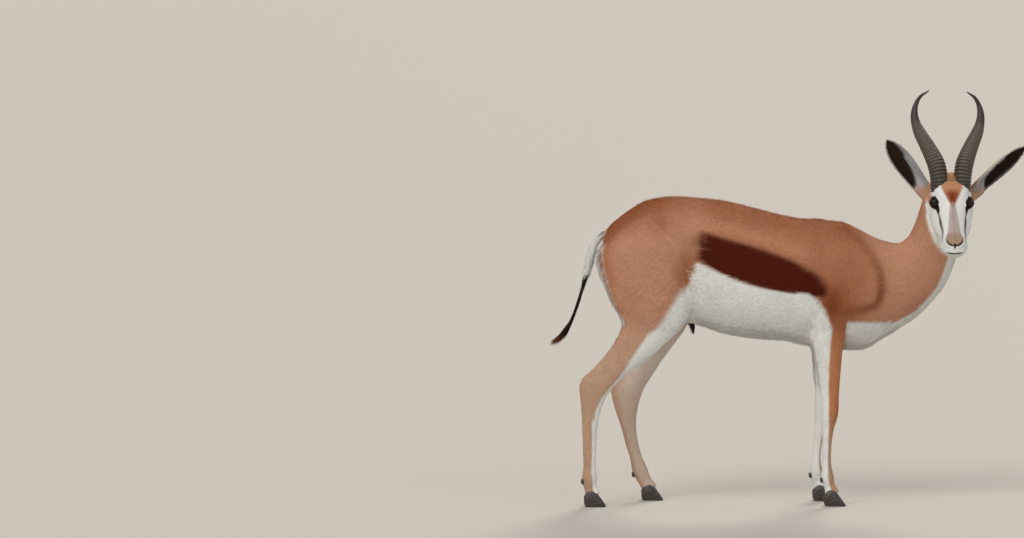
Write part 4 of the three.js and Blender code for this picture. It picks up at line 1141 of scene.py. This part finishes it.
corner_points = points[corners]
face_area = np.linalg.norm(np.cross(corner_points[:, 1] - corner_points[:, 0],
                                    corner_points[:, 2] - corner_points[:, 0]), axis=1) / 2
face_middle = corner_points.mean(1)
face_normal = unit(normals[corners].mean(1))
face_chart = CHART_NAMES[chart[corners[:, 0]]]

# Horns, as the coat parts round them: out, back and up from the poll, and half width. The left one
# reaches a little less far out and up. No hair grows that near a horn's core, or as low as the hooves.
HORN = [
    [30, -17, -46, 22], [31, -16, -28, 23.5], [32.5, -13, 0, 23.5], [38, -1, 32, 23.5],
    [49.5, 20, 60, 21.5], [63.5, 42, 88, 19], [78, 62, 115, 16.3], [88, 77, 141, 13.3],
    [91.5, 88, 167, 10.3], [87, 93, 192, 7], [75.5, 93, 213, 4.7], [52, 88, 230, 1.4],
]
LEFT_HORN = [0.965, 0.985]
HORN_ROOT = 23.0
HOOF_TOP = 19


def horn_rows(side):
    """Path of a horn with its half width, in the drawing's frame."""
    out_share, up_share = LEFT_HORN if side > 0 else (1.0, 1.0)
    return np.array([[POLL[0] + out * out_share * side, POLL[1] + back, POLL[2] + up * up_share, half]
                     for out, back, up, half in HORN])


def bare(points):
    """Places with no coat: the openings of the eyes, nostrils and lips, the feet and the horns."""
    in_head = into_head(points)
    spot = abreast(in_head)
    hidden = points[:, 2] < HOOF_TOP
    for line, clear in ((NOSTRIL_LINE, 2.6), (MOUTH_LINE, 2.2), (CLEFT_LINE, 4.0)):
        hidden |= gap_to_line(spot, line)[0] < clear
    for side in (-1, 1):
        hidden |= past_lids(in_head, side) < 0.5
        hidden |= gap_to_line(points, horn_rows(side)[:4, :3])[0] < HORN_ROOT
    return hidden


def scatter(count, weight):
    """Places on the skin, as many on each triangle as its area times its weight asks for: roots,
    normals and the lie of the hair there."""
    total = np.cumsum(face_area * weight)
    pick = np.searchsorted(total, (np.arange(count) + dice.random(count)) / count * total[-1])
    pick = corners[np.minimum(pick, len(total) - 1)]
    a, b = dice.random((2, count))
    a, b = np.where(a + b > 1, 1 - a, a), np.where(a + b > 1, 1 - b, b)
    shares = np.stack([1 - a - b, a, b], 1)[..., None]
    roots = (points[pick] * shares).sum(1)
    facing = unit((normals[pick] * shares).sum(1))
    lie = unit((skin_lie[pick] * shares).sum(1))
    keep = ~bare(roots)
    return roots[keep], facing[keep], lie[keep]


def drawn(low, high, count):
    """Random numbers from low to high."""
    return low + (high - low) * dice.random(count)


coat_hair = hair_material("short coat", 1.0, 0.25, 0.0)
long_hair = hair_material("long hair", 1.2, 0.35, 0.0, roughness=0.6, sheen=0.05)


def blades(name, roots, normals, lie, length, width, lift, colours, material=long_hair,
           stations=LONG, curl=0.06, thick=0.22, sink=0.8, tip_pale_and_glow=1.08, tip_colours=None):
    """Joined tufts. A blade's middle runs along the lie and rises by an eased curve to its lift; its
    three-sided section narrows to a point; its colour is the root's, a little paler to the tip, partly
    the hair's own paler ends and partly a painted glow of light through them."""
    count = len(roots)
    colours = np.broadcast_to(colours, (count, 3))
    roots = roots - sink * normals
    lie = along_skin(lie, normals)
    side = np.cross(normals, lie)
    length, width, lift = (np.broadcast_to(v, count)[:, None] for v in (length, width, lift))
    bend = (dice.random(count) - 0.5)[:, None] * 2 * curl
    rings = []
    for s in stations:
        rise = sink * s + lift * length * (1 - (1 - s) ** 2)
        middle = roots + lie * length * s + normals * rise + side * bend * length * s * s
        half = width / 2 * (1 - s**2) * (0.75 + 0.5 * s)
        ridge = middle + normals * width * thick * (1 - 0.6 * s)
        rings += [middle - side * half, middle + side * half, ridge]
    rings.append(roots + lie * length + normals * (sink + lift * length) + side * bend * length)
    spots = np.stack(rings, 1)
    per = spots.shape[1]
    edges = ((0, 1), (1, 2), (2, 0))
    last = 3 * (len(stations) - 1)
    base = [[0, 2, 1]]
    for k in range(0, last, 3):
        for a, b in edges:
            base += [[k + a, k + b, k + b + 3], [k + a, k + b + 3, k + a + 3]]
    base += [[last + a, last + b, last + 3] for a, b in edges]
    faces = (np.arange(count)[:, None, None] * per + np.array(base)).reshape(-1, 3)
    piece = new_mesh(name, in_metres(spots.reshape(-1, 3)), faces)

    at = np.array([s for s in stations for _ in range(3)] + [1.0])
    # Darker at the root and paler to the tip, partly the hair's own paler ends and partly a painted glow of
    # light through them; each blade's brightness also differs at random.
    shade = (0.9 + (tip_pale_and_glow - 0.9) * at)[None, :] * (0.93 + 0.14 * dice.random(count))[:, None]
    ends = colours if tip_colours is None else tip_colours
    colour = colours[:, None] * (1 - at[:, None]) + ends[:, None] * at[:, None]
    colour_attribute(piece, (colour * shade[..., None]).reshape(-1, 3))

    # The map for baking: each blade has a small patch at its root's place on the charts.
    chart, round_share, along_share, _ = on_chart(roots)
    place = CHART_PLACES[chart]
    corner = place[:, :2] + place[:, 2:4] * np.stack([round_share, along_share], 1)
    across = np.array([o for _ in stations for o in (-0.5, 0.5, 0)] + [0])
    patch = np.broadcast_to(np.stack([across, at], -1), (count, per, 2)) * PATCH
    spread = (corner[:, None] + patch).reshape(-1, 2)
    layer = piece.data.uv_layers.new(name="OFBake")
    layer.data.foreach_set("uv", spread[faces].astype(np.float32).ravel())

    grain = np.stack([round_share * 0.4, along_share * 0.8, dice.random(count) * 3], 1)
    grain = np.repeat(grain[:, None], per, 1) + np.stack([across * 0.002, at * 0.006, 0 * at], -1)
    grain_attribute(piece, grain.reshape(-1, 3))
    tilt = side[:, None] * (0.8 * across)[None, :, None]
    soft = unit(normals[:, None] + tilt + lie[:, None] * 0.12)
    piece.data.normals_split_custom_set_from_vertices(soft.reshape(-1, 3).tolist())
    piece.data.materials.append(material)
    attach(piece, "root")
    return piece


def coloured(roots, normals):
    """Colour of the coat at each root."""
    return hair_colours(roots, normals, *on_chart(roots)[:3])


leg_faces = np.isin(face_chart, list(LEGS))
ear_faces = np.isin(face_chart, ["ear_right", "ear_left"])
x, y, z = face_middle.T
trunk_faces = (face_chart == "trunk") | (leg_faces & (z > 480))
low_legs = leg_faces & (z <= 480)
right, rear, hind = y < 0, x < 40, x < -150
# Each stretch of short coat: which faces, how many tufts, their length, width and lift, and slot.
STRETCHES = {
    "coat_right_side": (trunk_faces & right & rear, 19000, (9, 12.5), (1.6, 2.4), 0.08, "fawn_hair"),
    "coat_left_side": (trunk_faces & ~right & rear, 19000, (9, 12.5), (1.6, 2.4), 0.08, "fawn_hair"),
    "coat_right_shoulder": (trunk_faces & right & ~rear, 16500, (8.5, 12), (1.5, 2.3), 0.08, "fawn_hair"),
    "coat_left_shoulder": (trunk_faces & ~right & ~rear, 16500, (8.5, 12), (1.5, 2.3), 0.08, "fawn_hair"),
    "coat_hind_legs": (low_legs & hind, 12500, (6, 9), (1.1, 1.7), 0.08, "fawn_hair"),
    "coat_forelegs": (low_legs & ~hind, 11000, (6, 9), (1.1, 1.7), 0.08, "fawn_hair"),
    "coat_head": (face_chart == "head", 16000, (3.4, 5.5), (0.8, 1.3), 0.10, "white_hair"),
    "coat_ears": (ear_faces, 6000, (4, 7), (0.8, 1.3), 0.10, "fawn_hair"),
}
for name, (faces, count, long, wide, lift, slot) in STRETCHES.items():
    roots, facing, lie = scatter(count, faces)
    count = len(roots)
    lie = unit(lie + 0.11 * np.cross(facing, lie) * dice.standard_normal(count)[:, None])
    keel = ramp(-facing[:, 2], 0.5, 0.95) * (np.abs(roots[:, 1]) < 120) * (roots[:, 2] > 400)
    length = drawn(*long, count) * (1 + 0.5 * keel)
    width = drawn(*wide, count)
    tips = coloured(roots + lie * length[:, None], facing)
    blades(name, roots, facing, lie, length, width, lift * drawn(0.5, 1.5, count),
           coloured(roots, facing), coat_hair, SHORT, tip_colours=tips)

# White rump hair, longer and looser, that fans out on both sides of the tail.
rump_faces = (x < line_at(z, RUMP_EDGE) + RUMP_WIDE + 2) & (z > 490) & (z < 775) & (x < -430)
roots, facing, lie = scatter(3600, rump_faces & (face_chart != "tail"))
count = len(roots)
back = np.interp(roots[:, 2], [660, 740], [-0.1, -0.4])[:, None] * np.array([1.0, 0, 0])
fan = unit(lie + back + np.array([0, 0, -0.75]) + np.array([0, 0.3, 0]) * np.sign(roots[:, 1:2]))
shorter = np.interp(roots[:, 2], [490, 560, 640, 700, 750], [0.4, 0.7, 0.9, 1.3, 1.5])
blades("rump_hair", roots, facing, fan, drawn(14, 26, count) * shorter, drawn(1.3, 2.2, count),
       drawn(0.10, 0.26, count), coloured(roots, facing), curl=0.1)

# Belly line, chest, elbows and the backs of the thighs, where longer hair breaks the outline.
fringe = (trunk_faces & (face_normal[:, 2] < -0.72) & (x > -240) & (x < 300)) * 1.0
fringe += ((face_chart == "trunk") & (face_normal[:, 2] > 0.9)) * 0.35
fringe += (leg_faces & (face_normal[:, 0] < -0.8) & (z > 330)) * 0.7
roots, facing, lie = scatter(4200, fringe)
count = len(roots)
length = drawn(12, 22, count)
blades("fringe_hair", roots, facing, lie, length, drawn(1.2, 2.0, count), drawn(0.10, 0.26, count),
       coloured(roots, facing), curl=0.12,
       tip_colours=coloured(roots + lie * length[:, None], facing))

# Dark tuft that hangs from the sheath under the belly.
count = 110
around = dice.random(count) * 2 * np.pi
facing = np.stack([np.cos(around), np.sin(around), -0.2 * np.ones(count)], 1)
roots = np.array([-262, 0, 494]) + facing * [7, 6, 0]
roots[:, 2] += drawn(-18, 0, count)
hang = unit(np.array([0.1, 0, -1.0]) + 0.1 * facing)
blades("sheath_hair", roots, unit(facing), hang, drawn(13, 22, count), drawn(1.4, 2.0, count), 0.02,
       BLACK * 1.8)

# Poll and forehead, where the hair stands up between and around the horns.
spot = into_head(face_middle)
poll_faces = (face_chart == "head") & (spot[:, 0] < 34) & (spot[:, 2] > -34)
roots, facing, lie = scatter(1500, poll_faces)
count = len(roots)
blades("poll_hair", roots, facing, lie, drawn(8, 16, count), drawn(1.0, 1.7, count),
       drawn(0.35, 0.65, count), coloured(roots, facing), curl=0.15)


# Ears. Fine pale hair edges each ear, and a fringe of long grey-white hair runs up the cup's inner
# side from its root.
RIM_HAIRS, CUP_HAIRS = 900, 520


def ear_hair(side):
    """Roots along the rim and the inner side of one ear, with the way each hair lies."""
    rings = ear_rings(side, EAR_SIDES, EAR_ROWS)
    root, tip, across, front = ear_axes(side)
    along = unit(tip - root)
    inward, first = (1, 0) if side == "right" else (-1, EAR_SIDES // 2)
    rows = dice.integers(18, 88, RIM_HAIRS)
    ends = np.where(dice.random(RIM_HAIRS) < 0.5, 0, EAR_SIDES // 2)
    rim = rings[rows, (ends + dice.integers(-2, 3, RIM_HAIRS)) % EAR_SIDES]
    outward = np.where(ends == 0, 1.0, -1.0)[:, None] * across
    rim_lie = unit(along * 0.9 + outward * 0.2 + front * drawn(-0.3, 0.3, (RIM_HAIRS, 1)))
    rows = (8 + 50 * dice.random(CUP_HAIRS) ** 1.6).astype(int)
    cup = rings[rows, (first - inward * dice.integers(1, 16, CUP_HAIRS)) % EAR_SIDES]
    cup_lie = unit(along - 0.45 * inward * across + front * drawn(0, 0.35, (CUP_HAIRS, 1)))
    return rim, rim_lie, outward, cup, cup_lie, front


for side in EARS:
    rim, rim_lie, outward, cup, cup_lie, front = ear_hair(side)
    blades(f"ear_rim_hair_{side}", rim, unit(outward + 0.2 * front), rim_lie,
           drawn(4, 7, RIM_HAIRS), drawn(0.8, 1.2, RIM_HAIRS), drawn(0.05, 0.20, RIM_HAIRS),
           CREAM, curl=0.1, sink=1.2)
    blades(f"ear_inner_hair_{side}", cup, np.broadcast_to(front, cup.shape), cup_lie,
           drawn(7, 14, CUP_HAIRS), drawn(0.9, 1.5, CUP_HAIRS), drawn(0.16, 0.36, CUP_HAIRS),
           EAR_GREY, curl=0.12, sink=1.0)


# Tail. A thin core carries long white hair down to its middle, short black hair below that and a
# black tuft at the end that thins to brown wisps. Each stretch: first and last row of the tail's
# table, how many hairs, their length, width and lift, and slot.
TAIL_STRETCHES = {
    "tail_white_hair": (0.6, 4.5, 1500, (24, 42), (1.4, 2.2), 0.10, "white_hair"),
    "tail_black_hair": (4.9, 9.4, 640, (16, 26), (1.2, 1.8), 0.05, "dark_hair"),
    "tail_tuft_hair": (9.0, 11.6, 620, (20, 50), (1.0, 1.6), 0.09, "dark_hair"),
}
ONWARD = 1.2


def tail_at(place):
    """Points of the tail's middle and its half widths, from places counted in its table's rows."""
    x, z, half = (np.interp(place, np.arange(len(TAIL)), column) for column in np.transpose(TAIL))
    return np.stack([x, 0 * x, z], 1), half


for name, (start, stop, count, long, wide, lift, slot) in TAIL_STRETCHES.items():
    place = drawn(start, stop, count)
    at, half = tail_at(place)
    lie = unit(tail_at(place + ONWARD)[0] - at)
    angle = dice.random(count)[:, None] * 2 * np.pi
    facing = np.cos(angle) * np.cross([0, 1.0, 0], lie) + np.sin(angle) * np.array([0, 1.0, 0])
    roots = at + facing * (half * TAIL_CORE)[:, None]
    length, width = drawn(*long, count), drawn(*wide, count)
    stand = lift * drawn(0.35, 1.35, count)
    if slot == "white_hair":
        colours = WHITE
    else:
        brown = ramp(place, 9.8, 11.2) * dice.random(count)
        colours = over(BLACK, CINNAMON * 0.8, brown)
    # The tail's hairs pale more to their tips, partly their own colour and partly a painted glow of light
    # through them.
    piece = blades(name, roots, facing, lie, length, width, stand, colours, curl=0.1, tip_pale_and_glow=1.25)
    if name == "tail_tuft_hair":
        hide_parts("tail_tuft")
    if name == "tail_white_hair":
        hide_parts("tail")


# Horns. Black keratin sheaths over the bone cores, ringed for two thirds of their length, that bow
# out and hook in again at their smooth tips.
RING_GAP = 8.6
RINGED = 0.66  # share of the length
RING_HEIGHT = 0.1  # share of the half width
HORN_DEPTH = 1.12  # from front to rear, as a share of the width
HORN_SIDES = 56


def horn_lines_group():
    """Fine lines of growth: noise at the place on the object, times the stretch along each axis."""
    group, come, go = new_group("horn lines", [
        ("Stretch", "NodeSocketVector", "INPUT", (260, 260, 40)),
        ("Detail", "NodeSocketFloat", "INPUT", 5.0),
        ("Lines", "NodeSocketFloat", "OUTPUT", None),
    ])
    inputs = {0: object_place(group), 1: come.outputs["Stretch"]}
    place = add_node(group, "ShaderNodeVectorMath", inputs, operation="MULTIPLY").outputs[0]
    group.links.new(noise(group, place, 1.0, come.outputs["Detail"], 0.6), go.inputs["Lines"])
    return group


horn_lines = horn_lines_group()


def horn_material(name, roughness, stretch, detail, tones, bump, ringed):
    """Dark horn, stained from the first tone to the second along fine lines of growth. On a ringed horn
    the height of the rings, strongest on the horn's middle, is added to half of the lines, so that the
    rings' crests are paler: a painted highlight."""
    material, tree, shader = new_material(name, {"Roughness": roughness})
    inputs = {"Stretch": stretch, "Detail": detail}
    lines = add_node(tree, "ShaderNodeGroup", inputs, node_tree=horn_lines).outputs["Lines"]
    value = maths(tree, "MULTIPLY_ADD", lines, 0.5, stored(tree, "ring", "Fac")) if ringed else lines
    tone = add_node(tree, "ShaderNodeValToRGB", {"Fac": value})
    for element, (position, colour) in zip(tone.color_ramp.elements, tones):
        element.position = position
        element.color = (*colour, 1)
    tree.links.new(tone.outputs["Color"], shader.inputs["Base Color"])
    add_bump(tree, shader, lines, *bump)
    return material


ringed_horn = horn_material("ringed horn", 0.5, (260, 260, 40), 5.0, (
    (0.15, linear(30, 22, 17)), (0.95, linear(104, 91, 80))), (0.35, 0.0006), True)
SIDES = {"right": -1, "left": 1}
for name, side in SIDES.items():
    path = smooth_path(horn_rows(side), 480)
    length = np.concatenate([[0], np.cumsum(np.linalg.norm(np.diff(path[:, :3], axis=0), axis=1))])
    length = length[:, None]
    share = length / length[-1]
    angle = full_turn(HORN_SIDES)[None]
    sway = 0.35 * np.sin(angle + 1.1 * side) + 0.18 * np.sin(3 * angle + length / 31)
    gap = RING_GAP * (1.06 - 0.2 * share)
    wave = 0.5 + 0.5 * np.cos(2 * np.pi * length / gap + sway)
    ridge = wave ** 0.8 * ramp(-share, -RINGED - 0.06, -RINGED + 0.06)
    line = 0.006 * np.sin(17 * angle + 2 * np.sin(length / 23))
    half = path[:, 3:] * (1 + RING_HEIGHT * (ridge - 0.55) + line)
    surface = closed(tube(path[:, :3], half, HORN_SIDES, HORN_DEPTH))
    piece = new_mesh(f"horn_{name}_sheath", *placed(surface))
    layer = piece.data.attributes.new("ring", "FLOAT", "POINT")
    # Paler crests of the rings, most on the middle of the horn: a painted highlight.
    tone = ridge * np.interp(share, [0.1, 0.32, 0.5, 0.7, 1], [0.25, 0.75, 1, 0.8, 0.6])
    layer.data.foreach_set("value", np.append(tone.ravel(), [0, 0]).astype(np.float32))
    piece.data.materials.append(ringed_horn)
    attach(piece, "root")
    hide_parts(f"horn_{name}")


# Hooves. Each foot ends in two narrow claws of dark horn, heel low and toe pointed, with growth
# rings round the wall; two small claws hang behind each fetlock.
CLAW = [
    [0, 26, 1, 6, 0, 6, 0, 1, 1], [7, 38, 8, -5, 0, 9, 0, 1, 0.7], [20, 46, 22, -7, 0, 10, 0, 1, 0.7],
    [35, 36, 37, -7, 0, 9.6, 0, 1, 0.7], [47, 20, 48, -6, 0, 7.8, 0, 1, 0.7],
    [55, 9, 55.5, -4, 0, 4.6, 0, 1, 0.8], [59, 3, 59, -1, 0, 1.6, 0, 1, 1],
]
CLAW_SPREAD = 10.6
CLAW_SPLAY = 3
HEELS = {"hind_right": -557, "hind_left": -398, "fore_right": 91, "fore_left": 68}
FETLOCK_ROW = {"hind": 18, "fore": 15}


hoof_horn = horn_material("hoof horn", 0.45, (60, 60, 420), 4.0, (
    (0.3, linear(30, 26, 24)), (0.75, linear(84, 74, 66))), (0.4, 0.0005), False)
small_claws = []
for leg, (rows, side) in LEGS.items():
    foot_y = rows[-1][4] * side
    for place, step in (("outer", side), ("inner", -side)):
        rings = ovals(refined(CLAW, 8), 40, 0.2)
        rings[..., 1] *= 1 + 0.012 * np.sin(rings[..., 2] / 1.1 + rings[..., 0] / 3.2)
        turn = np.radians(CLAW_SPLAY * step)
        flat = rings[..., :2] @ np.array([[np.cos(turn), np.sin(turn)], [-np.sin(turn), np.cos(turn)]])
        rings = np.concatenate([flat + [HEELS[leg], foot_y + CLAW_SPREAD * step],
                                np.maximum(rings[..., 2:], 0.2)], -1)
        rings[..., 1] = foot_y + step * np.maximum((rings[..., 1] - foot_y) * step, 0.3)
        piece = new_mesh(f"claw_{leg}_{place}", *placed(closed(rings)))
        piece.data.materials.append(hoof_horn)
        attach(piece, "root")
        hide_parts(f"hoof_{leg}_{place}")
    keel_x, keel_z = rows[FETLOCK_ROW[leg[:4]]][2:4]
    for step in (-1, 1):
        middle = [keel_x + 2.2, foot_y + 7.5 * step, keel_z - 2]
        small_claws.append(closed(ball(middle, [4.6, 3.6, 7.5], 24)))
piece = new_mesh("small_claws", *placed(joined(small_claws)))
piece.data.materials.append(hoof_horn)
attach(piece, "root")


# Eyes. Large wet balls with a clear front that swells over a nearly black iris and a level
# slot of a pupil; dark lashes stand along the upper lids.
def eye_material():
    """Wet eye: the colour stored at the points, flecked by fine noise, under a clear coat."""
    material, tree, shader = new_material("wet eye", {
        "Roughness": 0.2, "Specular IOR Level": 0.1, "Coat Weight": 0.45, "Coat Roughness": 0.04})
    flecks = maths(tree, "ADD", noise(tree, object_place(tree), 900.0, 3.0), 0.5)
    colour = times(tree, stored(tree, "eye_colour", "Color"), flecks)
    tree.links.new(colour, shader.inputs["Base Color"])
    return material


wet_eye = eye_material()
# Lashes on each upper lid.
LASHES = 34
lash_roots, lash_lies, lash_facings = [], [], []
for name, side in SIDES.items():
    centre, run, rise, look = eye_frame(side)
    rings = ball([0, 0, 0], [1, 1, 1], 96)
    tilt = np.arccos(np.clip(rings[..., 0], -1, 1))[..., None]
    swell = EYE_RADIUS + 1.1 * np.exp(-(tilt / 0.55) ** 4)
    shape = centre + (rings * swell) @ np.stack([look, run, rise])
    surface = closed(out_of_head(shape))
    piece = new_mesh(f"eyeball_{name}", *placed(surface))
    local = (into_head(surface[0]) - centre) @ np.stack([run, rise, look], 1)
    away = np.hypot(local[:, 0], local[:, 1])
    ahead = local[:, 2] > 0
    colour = over(linear(40, 28, 24), BLACK * 0.4, ramp(-away, -13.2, -11.6) * ahead)
    colour = over(colour, linear(30, 17, 10), ramp(-away, -11.4, -10.4) * ahead)
    pupil = np.hypot(local[:, 0] / 7.2, local[:, 1] / 3.6)
    colour = over(colour, BLACK * 0.15, ramp(-pupil, -1.1, -0.95) * ahead)
    colour_attribute(piece, colour, "eye_colour")
    piece.data.materials.append(wet_eye)
    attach(piece, "root")
    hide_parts(f"eye_{name}")
    place = np.linspace(-0.85, 0.75, LASHES) + 0.02 * dice.standard_normal(LASHES)
    long, high = OPENING
    height = high * (1 + 0.12 * -place) * lid_arc(place) * 1.14
    spot = place[:, None] * long * run + height[:, None] * rise
    outward = np.sqrt(np.maximum((EYE_RADIUS + 2.2) ** 2 - (spot**2).sum(1), 1))[:, None] * look
    lash_roots.append(out_of_head(centre + spot + outward))
    lie = unit(0.9 * look + 0.75 * rise + run * (place[:, None] * 0.5))
    lash_lies.append(lie @ HEAD_AXES)
    lash_facings.append(np.broadcast_to(unit(rise - 0.5 * look) @ HEAD_AXES, spot.shape))
roots, lie, facing = (np.concatenate(v) for v in (lash_roots, lash_lies, lash_facings))
blades("lashes", roots, facing, lie, drawn(7.5, 11, len(roots)), 0.75, 0.28, BLACK * 0.5,
       curl=0.08, thick=0.8)

# Camera, floor and light. The photographer stands fourteen metres off, a little behind the
# shoulder, and looks slightly down; the studio is a pale floor under wide soft lamps.
FOCAL_SHARE = 5185 / 1024
STAND = 14000
EYE_HEIGHT = 1570
AIM_HEIGHT = 637
SENSOR = 36

camera_data = bpy.data.cameras.new("camera")
camera_data.sensor_width = SENSOR
camera_data.lens = SENSOR * FOCAL_SHARE
camera_data.clip_end = 400
camera = bpy.data.objects.new("camera", camera_data)
camera.location = in_metres([-751, -STAND, EYE_HEIGHT])
camera.rotation_euler = (np.pi / 2 - np.arctan2(EYE_HEIGHT - AIM_HEIGHT, STAND), 0, 0)
bpy.context.scene.collection.objects.link(camera)
bpy.context.scene.camera = camera


def lamp(name, turn, lift, strength, softness, colour):
    """Far lamp that shines from that bearing and height, as soft as its angle is wide."""
    data = bpy.data.lights.new(name, "SUN")
    data.energy = strength
    data.angle = np.radians(softness)
    data.color = colour
    sun = bpy.data.objects.new(name, data)
    sun.rotation_euler = (np.radians(90 - lift), 0, np.radians(turn))
    bpy.context.scene.collection.objects.link(sun)


lamp("key", -35, 42, 1.5, 35, (1, 0.98, 0.95))
lamp("fill", 40, 25, 0.45, 60, (0.95, 0.97, 1))
lamp("rim", 165, 35, 1.3, 20, (1, 0.93, 0.84))

world = bpy.data.worlds.new("studio")
world.use_nodes = True
backdrop = world.node_tree.nodes["Background"]
backdrop.inputs["Color"].default_value = (0.95, 0.94, 0.92, 1)
backdrop.inputs["Strength"].default_value = 0.44
bpy.context.scene.world = world
bpy.context.scene.view_settings.view_transform = "Standard"

floor_corners = [[-200, -200, 0], [200, -200, 0], [200, 200, 0], [-200, 200, 0]]
floor_piece = new_mesh("floor", floor_corners, [[0, 1, 2], [0, 2, 3]])
pale_floor = new_material("pale floor", {"Base Color": (*linear(196, 190, 182), 1), "Roughness": 0.9})[0]
floor_piece.data.materials.append(pale_floor)
